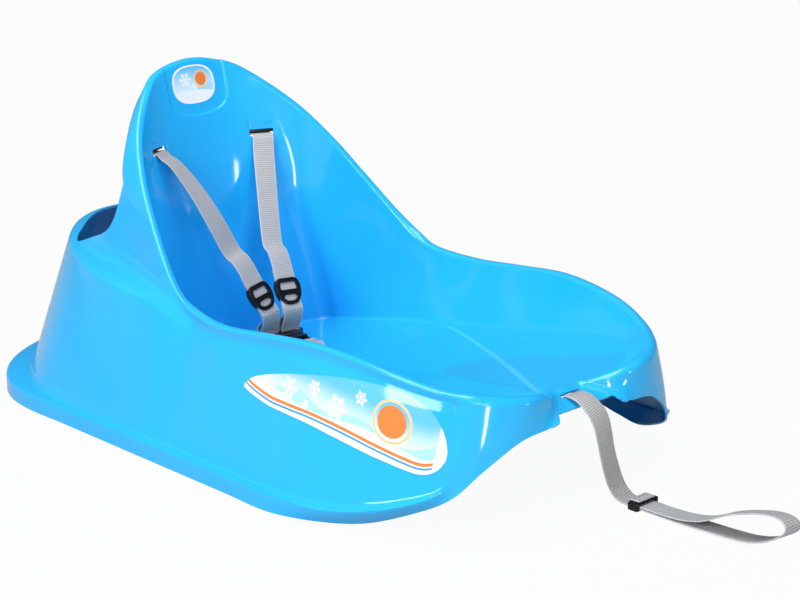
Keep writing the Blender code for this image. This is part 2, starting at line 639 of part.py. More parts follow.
def tow_slider():
    """The sleeve that holds the two layers of the tow strap, and the tail folded over it."""
    place = (TOW_SLIDER_X, TOW_LANE, 0)
    frame = Matrix.Translation(place)
    bm = slab(rounded_rectangle(TOW_SLIDER_LENGTH, TOW_SLIDER_WIDTH, 3, 2), 0.2, 7.9, 0.5)
    bmesh.ops.transform(bm, matrix=frame, verts=bm.verts)
    slider = add_object("tow_slider", bm, BLACK_PLASTIC, origin=place)
    reshape(slider, "DIFFERENCE", boxes(frame, ((-10, -CHANNEL_HALF_WIDTH, 1),
                                                (10, CHANNEL_HALF_WIDTH, 7))))
    keys = [(3.5, 5.95), (-2, 5.95), (-6.6, 5.95), (-8.3, 7.55), (-6.6, 9.15), (-2, 9.4), (5, 9.6)]
    fold = ribbon([((px, 0, pz), (0, 1, 0)) for px, pz in keys])
    bmesh.ops.transform(fold, matrix=frame, verts=fold.verts)
    add_object("tow_strap_end", fold, GREY_WEBBING, origin=place)
    return slider


# Printed film on the shell: the edges of the side decal as heights at each x
DECAL_EDGES = [
    (115, 102, 105), (127, 98, 114), (155, 93, 123), (180, 91.5, 128.5), (211, 89, 134),
    (243, 84, 137.5), (275, 78, 138.5), (304, 71.5, 136), (321, 67, 130.5), (336, 63.5, 121.5),
    (346, 64.5, 109), (352, 69, 97), (355.5, 77, 84)]
DECAL_ROWS = 5
BACK_DECAL = (-3.0, 337.5, 30.0, 21.5)
FILM_OFFSET = 0.9
FILM_THICKNESS = 0.3


def film(name, rows_of_points, way):
    """A film on the shell: a grid of points pushed along way until they meet it."""
    shell = bpy.data.objects["shell"].evaluated_get(bpy.context.evaluated_depsgraph_get())
    bm = bmesh.new()
    shift = Vector((CENTRE_SHIFT, 0, 0))
    grid = []
    for row in rows_of_points:
        ring = []
        for point in row:
            found, place, normal, face = shell.ray_cast((Vector(point) + shift) * MM, way)
            ring.append(bm.verts.new(place / MM - shift + normal * (FILM_OFFSET + FILM_THICKNESS)))
        grid.append(ring)
    for i in range(len(grid) - 1):
        for j in range(len(grid[0]) - 1):
            bm.faces.new((grid[i][j], grid[i + 1][j], grid[i + 1][j + 1], grid[i][j + 1]))
    bm.normal_update()
    if sum((f.normal for f in bm.faces), Vector()).dot(Vector(way)) > 0:
        bmesh.ops.reverse_faces(bm, faces=bm.faces)
    patch = add_object(name, bm, WHITE_FILM)
    thick = patch.modifiers.new("thickness", "SOLIDIFY")
    thick.thickness = FILM_THICKNESS * MM
    thick.offset = -1
    return patch


def side_decal(name):
    """The leaf-shaped decal on one side wall."""
    side = SIDES[name]
    last = len(DECAL_EDGES) - 1
    columns = []
    for k in range(3 * last + 1):
        x, low, high = curve_through(DECAL_EDGES, k / 3)
        columns.append([(x, side * 400, low + (high - low) * j / DECAL_ROWS)
                        for j in range(DECAL_ROWS + 1)])
    return film("side_decal_" + name, columns, (0, -side, 0))


def back_decal():
    """The oval decal at the top of the back."""
    y, z, half_width, half_height = BACK_DECAL
    columns = []
    for k in range(13):
        across = math.cos(math.pi * (0.06 + 0.88 * k / 12))
        reach = half_height * (1 - abs(across) ** 2.6) ** (1 / 2.6)
        columns.append([(0, y + half_width * across, z + reach * (2 * j / 4 - 1))
                        for j in range(5)])
    return film("back_decal", columns, (-1, 0, 0))


build_shell()
for lane in SIDES:
    shoulder_strap(lane)
    adjuster(lane)
    wall = slot_frame(SIDES[lane])
    stop_bar("shoulder_stop_" + lane,
             frame_at(at(wall, -9, 0, 2.2), wall.to_3x3() @ Vector((1, 0, 0)),
                      wall.to_3x3() @ Vector((0, 1, 0))))
    side_decal(lane)
back_decal()
buckle_socket()
buckle_plug()
crotch_strap()
stop_bar("crotch_stop", Matrix.Translation((CROTCH_SLOT[0] - 0.5 + LOOP_RADIUS, 0, CROTCH_SLOT[2] - 10)))
tow_strap()
stop_bar("tow_stop", Matrix.Translation((TOW_SLOT[0] - LOOP_RADIUS, 0, TOW_SLOT[2] - 10.5)))
tow_slider()
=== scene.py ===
import math

import bmesh
import bpy
from mathutils import Matrix, Vector


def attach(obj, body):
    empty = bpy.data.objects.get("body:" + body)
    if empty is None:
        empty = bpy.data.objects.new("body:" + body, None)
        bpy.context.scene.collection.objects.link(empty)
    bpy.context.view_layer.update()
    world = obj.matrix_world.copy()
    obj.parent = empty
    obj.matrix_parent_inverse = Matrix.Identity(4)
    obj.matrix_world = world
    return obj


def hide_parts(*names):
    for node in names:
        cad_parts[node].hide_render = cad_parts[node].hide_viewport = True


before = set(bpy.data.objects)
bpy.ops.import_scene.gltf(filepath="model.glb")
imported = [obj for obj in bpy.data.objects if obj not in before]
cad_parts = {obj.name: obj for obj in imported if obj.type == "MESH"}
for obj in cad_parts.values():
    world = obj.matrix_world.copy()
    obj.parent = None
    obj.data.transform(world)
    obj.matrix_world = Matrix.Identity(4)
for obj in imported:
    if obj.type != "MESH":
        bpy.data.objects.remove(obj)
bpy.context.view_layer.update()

# The camera stands off the sled's front right corner, a little above it, as the one that
# photographed the real sled did.
camera_data = bpy.data.cameras.new("camera")
camera_data.lens = 92.25
camera_data.sensor_width = 36.0
camera = bpy.data.objects.new("camera", camera_data)
camera_right = Vector((0.6902, 0.7236, 0.0))
camera_back = Vector((0.6934, -0.6614, 0.2857))
camera_turn = Matrix((camera_right, camera_back.cross(camera_right), camera_back)).transposed()
camera.matrix_world = Matrix.Translation((1.6278, -1.43, 0.7703)) @ camera_turn.to_4x4()
bpy.context.scene.collection.objects.link(camera)
bpy.context.scene.camera = camera

# The tow strap is 25 mm grey polypropylene webbing.  It comes up through the slot in the
# front land, falls to the ground and runs on through a slider to a standing hand loop,
# whose end goes back into the slider.  Lengths here and below are in millimetres.
MM = 0.001
CENTRE_SHIFT = 1.3
LOOP_RADIUS = 4.4
TOW_SLOT = (370.5, 0.0, 107.0)
TOW_LOOP = (TOW_SLOT[0] - LOOP_RADIUS, 0.0, TOW_SLOT[2] - 10.5)
TOW_FALL = [
    (373.5, -0.6, 110, 0), (381, -1.2, 110.6, 0), (389.5, -1, 108.6, 0), (397.5, 0, 103, -1),
    (403.5, 2.5, 95, 0), (406.8, 5, 84.5, 3), (408, 8, 71, 6), (407.8, 12, 57, 8),
    (407.2, 17.5, 42, 8.5), (406.4, 24, 28, 8), (406.6, 28.5, 18.5, 7), (409.2, 32.2, 9.8, 4),
    (414.8, 34.4, 4, 2), (422, 35.2, 2.3, 0)]
TOW_LANE = 35.3
TOW_SLIDER_X = 436.0
TOW_LAYERS = (2.1, 4.0)
LOOP_LEAN = 0.0042
HAND_LOOP = [
    (447, 2.1), (460, 2), (478, 2), (497, 2.4), (515, 3.2), (534, 4), (552, 5), (568, 6.8),
    (581, 9.8), (592, 14), (602, 19.6), (610.5, 26), (613.2, 32), (609.6, 37.4), (601, 39.6),
    (589, 38.8), (577, 36.2), (566, 33), (555, 29.4), (544, 25), (534, 20), (524, 14.8),
    (513, 10.4), (501, 7.4), (488, 5.4), (473, 4.3), (459, 4), (447, 4)]
RIBBON_STEPS = 7
UPPER_FACE = [(12.5, 0.0), (12.35, 0.4), (11.85, 0.66), (11.0, 0.75), (4.0, 0.75), (-4.0, 0.75),
              (-11.0, 0.75), (-11.85, 0.66), (-12.35, 0.4)]


def curve_through(keys, t):
    """Point at parameter t on a smooth curve through keys, one key for each whole t."""
    last = len(keys) - 1
    i = min(int(t), last - 1)
    f = t - i
    b = Vector(keys[i])
    c = Vector(keys[i + 1])
    a = Vector(keys[i - 1]) if i else 2 * b - c
    d = Vector(keys[i + 2]) if i + 2 <= last else 2 * c - b
    return 0.5 * (2 * b + (c - a) * f + (2 * a - 5 * b + 4 * c - d) * f * f
                  + (3 * b - a - 3 * c + d) * f ** 3)


def middle_line(keys):
    """Points on the webbing's middle line, close together."""
    centres = [point for point, way in keys]
    steps = (len(keys) - 1) * RIBBON_STEPS
    return [curve_through(centres, k / RIBBON_STEPS) for k in range(steps + 1)]


def ribbon(keys):
    """Flat webbing along keys of (point, direction of the width), with soft selvages.

    Its UV map holds millimetres: across the webbing, and along it.
    """
    centres = [point for point, way in keys]
    ways = [Vector(way).normalized() for point, way in keys]
    profile = UPPER_FACE + [(-a, -b) for a, b in UPPER_FACE]
    last = len(keys) - 1
    bm = bmesh.new()
    weave = bm.loops.layers.uv.new("weave")
    rings = []
    travelled = [0.0]
    line = middle_line(keys)
    for k, centre in enumerate(line):
        t = k / RIBBON_STEPS
        ahead = curve_through(centres, min(t + 0.02, last)) - curve_through(centres, max(t - 0.02, 0))
        ahead.normalize()
        way = curve_through(ways, t)
        way = (way - ahead * ahead.dot(way)).normalized()
        face = ahead.cross(way)
        rings.append([bm.verts.new(centre + way * a + face * b) for a, b in profile])
        if k:
            travelled.append(travelled[-1] + (centre - line[k - 1]).length)
    count = len(profile)
    for k in range(len(rings) - 1):
        for j in range(count):
            after = (j + 1) % count
            quad = bm.faces.new((rings[k][j], rings[k][after], rings[k + 1][after], rings[k + 1][j]))
            places = ((j, k), (after, k), (after, k + 1), (j, k + 1))
            for loop, (corner, ring) in zip(quad.loops, places):
                loop[weave].uv = (profile[corner][0], travelled[ring])
    bm.faces.new(rings[0])
    bm.faces.new(rings[-1])
    bmesh.ops.recalc_face_normals(bm, faces=bm.faces)
    return bm


def loop_round(centre, out, side, width_way):
    """Keys of webbing wrapped round a bar, from its sewn end to where it leaves along out."""
    keys = []
    for degrees in (-40, -85, -130, -175, -220, -270):
        a = math.radians(degrees)
        offset = Vector(out) * math.cos(a) + Vector(side) * math.sin(a)
        keys.append((Vector(centre) + offset * LOOP_RADIUS, width_way))
    return keys


def to_object(name, bm, smooth_degrees=35):
    """Turn a bmesh in millimetres into an object in metres at the origin.

    The shift brings the middle of the shell's length over the origin.
    """
    bmesh.ops.translate(bm, vec=(CENTRE_SHIFT, 0, 0), verts=bm.verts)
    bmesh.ops.scale(bm, vec=(MM, MM, MM), verts=bm.verts)
    mesh = bpy.data.meshes.new(name)
    bm.to_mesh(mesh)
    bm.free()
    mesh.shade_smooth()
    mesh.set_sharp_from_angle(angle=math.radians(smooth_degrees))
    obj = bpy.data.objects.new(name, mesh)
    bpy.context.scene.collection.objects.link(obj)
    return obj


class Wire:
    """An output of a node in a graph, so that its maths reads as an expression."""

    def __init__(self, graph, socket):
        self.graph = graph
        self.socket = socket

    def __add__(self, other):
        return self.graph.math("ADD", self, other)

    def __radd__(self, other):
        return self.graph.math("ADD", other, self)

    def __sub__(self, other):
        return self.graph.math("SUBTRACT", self, other)

    def __rsub__(self, other):
        return self.graph.math("SUBTRACT", other, self)

    def __mul__(self, other):
        return self.graph.math("MULTIPLY", self, other)

    def __rmul__(self, other):
        return self.graph.math("MULTIPLY", other, self)

    def __truediv__(self, other):
        return self.graph.math("DIVIDE", self, other)

    def __rtruediv__(self, other):
        return self.graph.math("DIVIDE", other, self)

    def __pow__(self, other):
        return self.graph.math("POWER", self, other)

    def __rpow__(self, other):
        return self.graph.math("POWER", other, self)

    def __abs__(self):
        return self.graph.math("ABSOLUTE", self)

    def __lt__(self, other):
        return self.graph.math("LESS_THAN", self, other)

    def __gt__(self, other):
        return self.graph.math("GREATER_THAN", self, other)


class Graph:
    """A tree of nodes that is written as expressions."""

    def __init__(self, tree):
        self.tree = tree

    def node(self, kind, settings=(), sockets=(), output=0):
        """Add a node: first its settings, then the values or wires of its sockets."""
        made = self.tree.nodes.new(kind)
        for name, value in dict(settings).items():
            setattr(made, name, value)
        for key, value in dict(sockets).items():
            if isinstance(value, Wire):
                self.tree.links.new(value.socket, made.inputs[key])
            else:
                made.inputs[key].default_value = value
        return Wire(self, made.outputs[output])

    def math(self, operation, *values):
        return self.node("ShaderNodeMath", {"operation": operation}, enumerate(values))

    def step(self, value, low, high, start=0.0, end=1.0):
        """A smooth change from start to end while value goes from low to high."""
        return self.node("ShaderNodeMapRange", {"interpolation_type": "SMOOTHSTEP"},
                         enumerate((value, low, high, start, end)))

    def axis(self, vector, number):
        return self.node("ShaderNodeSeparateXYZ", {}, {0: vector}, number)

    def ray_kind(self, number):
        """Whether a ray is of a kind, as the Light Path node numbers its outputs."""
        return self.node("ShaderNodeLightPath", output=number)

    def surface(self, shader, output_node):
        """Link a shader to the graph's output."""
        self.tree.links.new(shader.socket, self.tree.nodes[output_node].inputs["Surface"])


class Finish(Graph):
    """A Principled material."""

    def __init__(self, name, colour, roughness, **constants):
        self.material = bpy.data.materials.new(name)
        self.material.use_nodes = True
        super().__init__(self.material.node_tree)
        self.shader = self.tree.nodes["Principled BSDF"]
        self.set("Base Color", (*colour, 1))
        self.set("Roughness", roughness)
        for socket, value in constants.items():
            self.set(socket.replace("_", " "), value)

    def set(self, socket, value):
        if isinstance(value, Wire):
            self.tree.links.new(value.socket, self.shader.inputs[socket])
        else:
            self.shader.inputs[socket].default_value = value

    def mix(self, factor, first, second):
        """A colour between two, each of them a wire or a colour."""
        ends = [(*end, 1) if isinstance(end, tuple) else end for end in (first, second)]
        return self.node("ShaderNodeMix", {"data_type": "RGBA"}, {0: factor, 6: ends[0], 7: ends[1]}, 2)

    def noise(self, place, scale, detail=2.0):
        return self.node("ShaderNodeTexNoise", {}, {"Vector": place, "Scale": scale, "Detail": detail})

    def place(self):
        """Object coordinates, in metres."""
        return self.node("ShaderNodeTexCoord", output=3)

    def bump(self, height, distance, strength):
        """A normal from a height, of which 1 is as high as distance, in metres."""
        sockets = {"Height": height, "Distance": distance, "Strength": strength}
        return self.node("ShaderNodeBump", {}, sockets)

    def paint(self, obj):
        """Give an object this material and no other."""
        obj.data.materials.clear()
        obj.data.materials.append(self.material)


def dress(obj, finish, body, node):
    """Give a shown piece its finish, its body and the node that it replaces."""
    finish.paint(obj)
    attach(obj, body)
    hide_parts(node)


RIB_PITCH = 2.3
THREAD_PITCH = 1.2
webbing = Finish("grey_woven_webbing", (0.4, 0.4, 0.43), 0.62, Specular_IOR_Level=0.35)
weave = webbing.node("ShaderNodeUVMap", {"uv_map": "weave"})
across = webbing.axis(weave, 0)
along = webbing.axis(weave, 1)
rib = webbing.math("SINE", along * (2 * math.pi / RIB_PITCH)) * 0.5 + 0.5
thread = webbing.math("SINE", across * (2 * math.pi / THREAD_PITCH)) * 0.5 + 0.5
selvage = webbing.step(abs(across), 10.9, 11.4)
crossing = rib * (thread * 0.35 + 0.65)
height = webbing.math("MAXIMUM", crossing, selvage * 0.8)
fibres = webbing.noise(webbing.place(), 700.0)
shade = webbing.noise(webbing.place(), 30.0)
# The webbing's colour follows the weave's height: lighter on the ribs and selvages and darker in the grooves
# between them, which is painted shade of the weave. The two noises add real tone that differs at random.
tone = height * 0.65 + fibres * 0.2 + shade * 0.15
webbing.set("Base Color", webbing.mix(tone, (0.24, 0.237, 0.247), (0.66, 0.653, 0.67)))
webbing.set("Roughness", fibres * 0.2 + 0.5)
webbing.set("Normal", webbing.bump(height + fibres * 0.15, 0.0003, 0.8))

x, y, z = TOW_SLOT
across_sled = Vector((0, 1, 0))
tow_keys = loop_round(TOW_LOOP, (0, 0, 1), (1, 0, 0), across_sled)
tow_keys += [((x, y, z - 3), across_sled), ((x + 0.6, y - 0.4, z + 2), across_sled)]
for px, py, pz, degrees in TOW_FALL:
    a = math.radians(degrees)
    tow_keys.append(((px, py, pz), Vector((-math.sin(a), math.cos(a), 0))))
tow_keys.append(((TOW_SLIDER_X - 7, TOW_LANE, TOW_LAYERS[0]), across_sled))
tow_keys.append(((TOW_SLIDER_X, TOW_LANE, TOW_LAYERS[0]), across_sled))
tow_keys += [((px, TOW_LANE, pz), Vector((0, 1, -LOOP_LEAN * pz))) for px, pz in HAND_LOOP]
tow_keys += [((TOW_SLIDER_X + ahead, TOW_LANE, TOW_LAYERS[1]), across_sled) for ahead in (0, -9)]
tow_webbing = to_object("tow_webbing", ribbon(tow_keys))
dress(tow_webbing, webbing, "sled", "tow_strap")

# The slider is a black sleeve of moulded acetal that the two layers of the hand loop run
# through.  The strap's tail is folded forward over its roof.
TAIL_FOLD = [(3.5, 5.95), (-2, 5.95), (-6.6, 5.95), (-8.3, 7.55), (-6.6, 9.15), (-2, 9.4), (5, 9.6)]
CHANNEL_HALF_WIDTH = 13.2
CORNER_STEPS = 6


def soft_outline(corners, radius):
    """A closed outline through corners, each of them rounded."""
    out = []
    for i, corner in enumerate(corners):
        corner = Vector(corner)
        before = Vector(corners[i - 1]) - corner
        after = Vector(corners[(i + 1) % len(corners)]) - corner
        r = min(radius, 0.48 * before.length, 0.48 * after.length)
        start = corner + before.normalized() * r
        end = corner + after.normalized() * r
        for k in range(CORNER_STEPS + 1):
            f = k / CORNER_STEPS
            out.append(start.lerp(corner, f).lerp(corner.lerp(end, f), f))
    return out


def rectangle(low_x, low_y, high_x, high_y, radius):
    """The outline of a rectangle with rounded corners."""
    return soft_outline([(low_x, low_y), (high_x, low_y), (high_x, high_y), (low_x, high_y)], radius)


def quarter_turn(steps):
    """Angles from 0 to a right angle."""
    return [math.radians(90 * k / steps) for k in range(steps + 1)]


def rounded_rims(low, high, edge, steps=4):
    """A plate's side as (inset, height): upright, with both rims rounded by edge."""
    lower = [(edge * (1 - math.sin(a)), low + edge * (1 - math.cos(a))) for a in quarter_turn(steps)]
    return lower + [(inset, low + high - height) for inset, height in reversed(lower)]


def flared_hole(low, face, flare):
    """A hole's side as (inset, height): upright, with its mouth at face flared open."""
    mouth = [(flare * (math.cos(a) - 1), face - flare + flare * math.sin(a)) for a in quarter_turn(4)]
    return [(0, low)] + mouth + [(-flare, face + 1)]


def plate(outline, side):
    """A solid with a counter-clockwise outline and a side given as (inset, height)."""
    outwards = []
    for i, point in enumerate(outline):
        ahead = outline[(i + 1) % len(outline)] - outline[i - 1]
        outwards.append(Vector((ahead.y, -ahead.x)).normalized())
    bm = bmesh.new()
    rings = []
    for inset, height in side:
        ring = [point - out * inset for point, out in zip(outline, outwards)]
        rings.append([bm.verts.new((point.x, point.y, height)) for point in ring])
    count = len(outline)
    for lower, upper in zip(rings, rings[1:]):
        for j in range(count):
            after = (j + 1) % count
            bm.faces.new((lower[j], lower[after], upper[after], upper[j]))
    bm.faces.new(rings[0][::-1])
    bm.faces.new(rings[-1])
    bmesh.ops.recalc_face_normals(bm, faces=bm.faces)
    return bm


def placed(name, bm, matrix):
    """An object from a bmesh in a piece's own millimetres, put at its place."""
    bmesh.ops.transform(bm, matrix=matrix, verts=bm.verts)
    return to_object(name, bm)


def settle(obj, smooth_degrees=35):
    """Make an object's mesh the one that its modifiers give, and drop them."""
    bpy.context.view_layer.update()
    evaluated = obj.evaluated_get(bpy.context.evaluated_depsgraph_get())
    mesh = bpy.data.meshes.new_from_object(evaluated)
    obj.modifiers.clear()
    obj.data = mesh
    mesh.name = obj.name
    mesh.shade_smooth()
    mesh.set_sharp_from_angle(angle=math.radians(smooth_degrees))


def shaped(obj, operation, tools, smooth_degrees=35):
    """Cut tools out of an object, or join them to it, and drop them."""
    for tool in tools:
        boolean = obj.modifiers.new("shape", "BOOLEAN")
        boolean.operation = operation
        boolean.solver = "EXACT"
        boolean.object = tool
    settle(obj, smooth_degrees)
    for tool in tools:
        bpy.data.objects.remove(tool)


black_plastic = Finish("black_acetal", (0.008, 0.008, 0.01), 0.2, Specular_IOR_Level=0.3)
place = black_plastic.place()
grain = black_plastic.noise(place, 2600.0)
handling = black_plastic.noise(place, 60.0, 3.0)
black_plastic.set("Base Color", black_plastic.mix(handling, (0.004, 0.004, 0.006), (0.011, 0.011, 0.013)))
black_plastic.set("Roughness", handling * 0.1 + grain * 0.05 + 0.13)
black_plastic.set("Normal", black_plastic.bump(grain, 0.00004, 0.6))

slider_place = Matrix.Translation((TOW_SLIDER_X, TOW_LANE, 0))
sleeve = placed("slider_sleeve", plate(rectangle(-6.5, -17, 6.5, 17, 3), rounded_rims(0.2, 7.9, 1.0)),
                slider_place)
channel = plate(rectangle(-10, -CHANNEL_HALF_WIDTH, 10, CHANNEL_HALF_WIDTH, 0.5), [(0, 1), (0, 7)])
shaped(sleeve, "DIFFERENCE", [placed("channel", channel, slider_place)])
dress(sleeve, black_plastic, "slider", "tow_slider")

tail = placed("tow_webbing_tail", ribbon([((px, 0, pz), across_sled) for px, pz in TAIL_FOLD]),
              slider_place)
dress(tail, webbing, "slider", "tow_strap_end")

tow_line = [(point + Vector((CENTRE_SHIFT, 0, 0))) * MM for point in middle_line(tow_keys)]
tow_length = sum((b - a).length for a, b in zip(tow_line, tow_line[1:]))
(x + CENTRE_SHIFT) * MM
z * MM

# The shell is one moulding of glossy blue polypropylene: the seat, its raised back, the rim,
# the outer skirt and the turned-out lip that it stands on.  Half of it is swept from sections
# at numbered stations, 0 at the middle of the back and 20 at the middle of the front.
HALF_WIDTH = 240.0
WALL = 2.2
SHELL_SMOOTH_DEGREES = 50
LIP_HEIGHT = 19.0
SKIRT_HALF_WIDTH = 231.0
FLOOR_HEIGHT = 47.0
FLOOR_START_X = -123.0
FLOOR_SLOPE = 0.118
CROWN_HEIGHT = 8.0
CROWN_START_X = -140.0
CROWN_RUN = 175.0
CROWN_HALF_WIDTH = 150.0
CREASE_OUTER = (55.5, 145.0)
CREASE_NOSE = (326.5, 0.0)
CREASE_WAY = (Vector(CREASE_NOSE) - Vector(CREASE_OUTER)).normalized()
CREASE_END_Y = 144.0
CREASE_BAND = (4.5, 1.2)
CREASE_RISE = 0.14
CREASE_SOFTNESS = 1.5
LAST_STATION = 20
LOOK_AROUND = 0.05
TIP_STATION = 4
LAND_STATION = 19
LAND_RAMP = 0.2
LAND_STEP = 4.0
LAND_EDGE = (388.5, 103.0)
FLANGE_END = 15
FLANGE_RAMP = 0.5
WALL_SWELL = 2.5
FRONT_FALL = [0.15, 0.3, 0.44, 0.58, 0.72, 0.86]
RIM = [
    (-220, 0, 366.5), (-217.5, 46, 358.5), (-203.5, 74, 343), (-168, 113, 305.5),
    (-131.5, 138, 266), (-94.5, 154, 227), (-56.5, 166.5, 190), (-24.5, 174, 164.5),
    (3.5, 178, 153.5), (60, 185.5, 149.5), (127.5, 184, 155.5), (191.5, 182, 161),
    (246.5, 176, 158.5), (294.5, 167.5, 151), (335.5, 151, 141.5), (361, 132, 136.5),
    (379, 107, 131.5), (388.5, 76, 128), (381, 46, 121.5), (364, 24, 115.5),
    (363.5, 0, 115.5)]
RIM_RADII = [3.8] * 5 + [4.1, 4.4, 4.8] + [5] * 9 + [4.6, 4.1, 3.7, 3.7]
FLOOR_EDGE = [
    (-173, 0), (-166, 60), (-143.5, 129), (-122, 137), (-104, 141.5), (-84, 145),
    (-60, 148), (-34, 150), (4, 150), (60, 150), (127, 150), (191, 150), (240, 149),
    (280, 145), (318, 135), (342, 118), (357, 94), (363, 66), (360, 40), (354, 18),
    (353, 0)]
FLOOR_MIDDLE = [
    -173, -162, -148, -128, -108, -87, -63, -36, 0, 55, 118, 178, 226, 262, 292, 314,
    329, 340, 347, 352, 353]
WALL_MIDDLE = [
    (-191.5, 0, 250), (-185.5, 46, 250), (-165.5, 93, 235), (-145, 120, 190),
    (-120, 137.5, 165), (-90, 150, 145), (-59, 158, 126), (-30, 163, 116)]
LIP_EDGE = [
    (-230, 0, 352), (-227, 45, 343), (-212, 79, 334), (-181.5, 119, 301),
    (-158, 143, 259), (-103, 159.5, 214), (-61, 171.5, 183), (-26, 180, 160)]
VALLEY = [
    (-260, 0, 300), (-256, 48, 300), (-236, 90, 280), (-196, 128, 250),
    (-169, 155, 200), (-132, 161, 172), (-78, 173, 164), (-32, 183.5, 156)]
HOLD_EDGE = [
    (-338, 0, 177), (-335, 39, 177), (-318, 72, 176.5), (-291, 103, 175),
    (-247, 144.5, 171), (-180, 168, 168), (-112, 184, 163), (-42, 189, 153.5)]
RIDGE = [
    (-351, 0, 174), (-348, 46, 174), (-330, 83.5, 173.5), (-301, 116.5, 172.5),
    (-262, 147, 170), (-199, 177, 164), (-132, 194, 158), (-48, 194, 150.5)]
RIDGE_FRACTION = 0.14
SKIRT_REAR_CENTRE = -160.5
SKIRT_REAR_DEPTH = 226.0
FLANGE_REAR_CENTRE = -224.5
FLANGE_REAR_DEPTH = 176.5
SKIRT_ANGLES = [0, 15, 29, 43, 57, 73]
FLANGE_ANGLES = [0, 18, 36, 53, 70, 88]
SIDE_X = [-150, -72, 4, 64, 130, 192]
FRONT_FLANGE = [
    (247, 232.5, 18), (298, 217, 25), (341, 190, 37.5), (367, 161, 53),
    (383, 133, 72), (393.5, 95, 93), (397, 60, 98), (399, 42, 102), (389, 0, 110)]
FRONT_LIP = [
    (244, 222, 0.5), (290, 200, 6), (334, 176, 23), (364, 158, 41),
    (381, 132, 67), (392.5, 95, 89.5), (396, 61, 94.5), (398, 46, 98.5), (388, 0, 107)]
FLANGE_WIDTHS = [9, 8.5, 7, 3, 1, 0.8, 0.8, 0.8, 0.8]

# Corners of a section from the seat's middle to the lip's foot, and the faces in each
# rounding and in each run between two of them
CORNER_RADII = [0, 5, 60, 5, 5, 6, 30, 3, 4, 8, 3, 0]
ARC_STEPS = [0, 6, 6, 5, 5, 3, 4, 3, 4, 4, 2, 0]
RUN_STEPS = [0, 22, 6, 24, 1, 6, 2, 4, 2, 8, 1, 4]
RIM_OUTER_CORNER = 4
LIP_EDGE_CORNER = 5
HOLD_EDGE_CORNER = 7
STATION_RUNS = [(0, 2, 28), (2, 4, 16), (4, 14, 56), (14, 18.5, 42), (18.5, 20, 26)]

# The head panel is a shallow recess at the top of the back, with a round lower edge
PANEL_HALF_WIDTH = 42.0
PANEL_ROUND_START = 331.0
PANEL_ROUND_DEPTH = 27.0
PANEL_DEPTH = 1.4
PANEL_EDGE = (1.03, 0.06)
OVAL_POWER = 2.6

# The slots for the webbing: two in the back, one in the floor and one in the front land.
# Each in the back has a sloping pocket above it
SHOULDER_SLOT = (-184, 74, 274.5)
SHOULDER_SLOT_NORMAL = (0.893, -0.436, 0.116)
SLOT_WIDTH = 29.0
SLOT_HEIGHT = 8.0
FLOOR_SLOT_HEIGHT = 7.0
SLOT_CORNER_RADIUS = 1.4
CROTCH_SLOT = (-4.5, 0.0, 60.0)
POCKET_HEIGHT = 8.5
POCKET_DEPTH = 1.8
POCKET_MARGIN = 2.2
POCKET_SIDE_RUN = 1.6
POCKET_END_RUN = 1.5
POCKET_LEAST_SHARE = 0.35
POCKET_REACH = 20
RECESSES_FROM_Z = 250
FINE_PANEL_FROM_Z = 298
FINE_PANEL_HALF_WIDTH = 52
FINE_SLOT_REACH = 21


def number_through(values, t):
    """A number at parameter t on a smooth curve through values."""
    return curve_through([(value, 0, 0) for value in values], t).x


def floor_height(x, y):
    """Height of the seat's floor: a ramp with a V-shaped crease towards the front."""
    y = abs(y)
    crown = CROWN_HEIGHT * min(max((x - CROWN_START_X) / CROWN_RUN, 0.0), 1.0)
    ramp = FLOOR_HEIGHT + FLOOR_SLOPE * (x - FLOOR_START_X) + crown * (y / CROWN_HALF_WIDTH) ** 2
    beyond = CREASE_WAY.x * (y - CREASE_OUTER[1]) - CREASE_WAY.y * (x - CREASE_OUTER[0])
    return ramp + CREASE_RISE * (beyond + math.hypot(beyond, CREASE_SOFTNESS)) / 2


def rear_arc(centre, depth, half_width, angles, height):
    """Points on half an ellipse round the rear."""
    turns = [math.radians(angle) for angle in angles]
    return [(centre - depth * math.cos(a), half_width * math.sin(a), height) for a in turns]


def side_run(half_width, height):
    """Points along the straight side."""
    return [(x, half_width, height) for x in SIDE_X]


LIP = (rear_arc(FLANGE_REAR_CENTRE, FLANGE_REAR_DEPTH, HALF_WIDTH, FLANGE_ANGLES, 0)
       + side_run(HALF_WIDTH, 0) + FRONT_LIP)
FLANGE = (rear_arc(FLANGE_REAR_CENTRE, FLANGE_REAR_DEPTH, HALF_WIDTH, FLANGE_ANGLES, LIP_HEIGHT)
          + side_run(HALF_WIDTH, LIP_HEIGHT) + FRONT_FLANGE)
SKIRT = (rear_arc(SKIRT_REAR_CENTRE, SKIRT_REAR_DEPTH, SKIRT_HALF_WIDTH, SKIRT_ANGLES, LIP_HEIGHT)
         + side_run(SKIRT_HALF_WIDTH, LIP_HEIGHT))
side_keys = len(SKIRT)
for key in range(side_keys, LAST_STATION + 1):
    ahead = Vector(FLANGE[min(key + 1, LAST_STATION)]) - Vector(FLANGE[key - 1])
    inward = Vector((-ahead.y, ahead.x, 0)).normalized()
    if inward.dot(Vector(FLANGE[key])) > 0:
        inward.negate()
    width = FLANGE_WIDTHS[key - side_keys]
    SKIRT.append(Vector(FLANGE[key]) + inward * width + Vector((0, 0, 0.3 * width)))

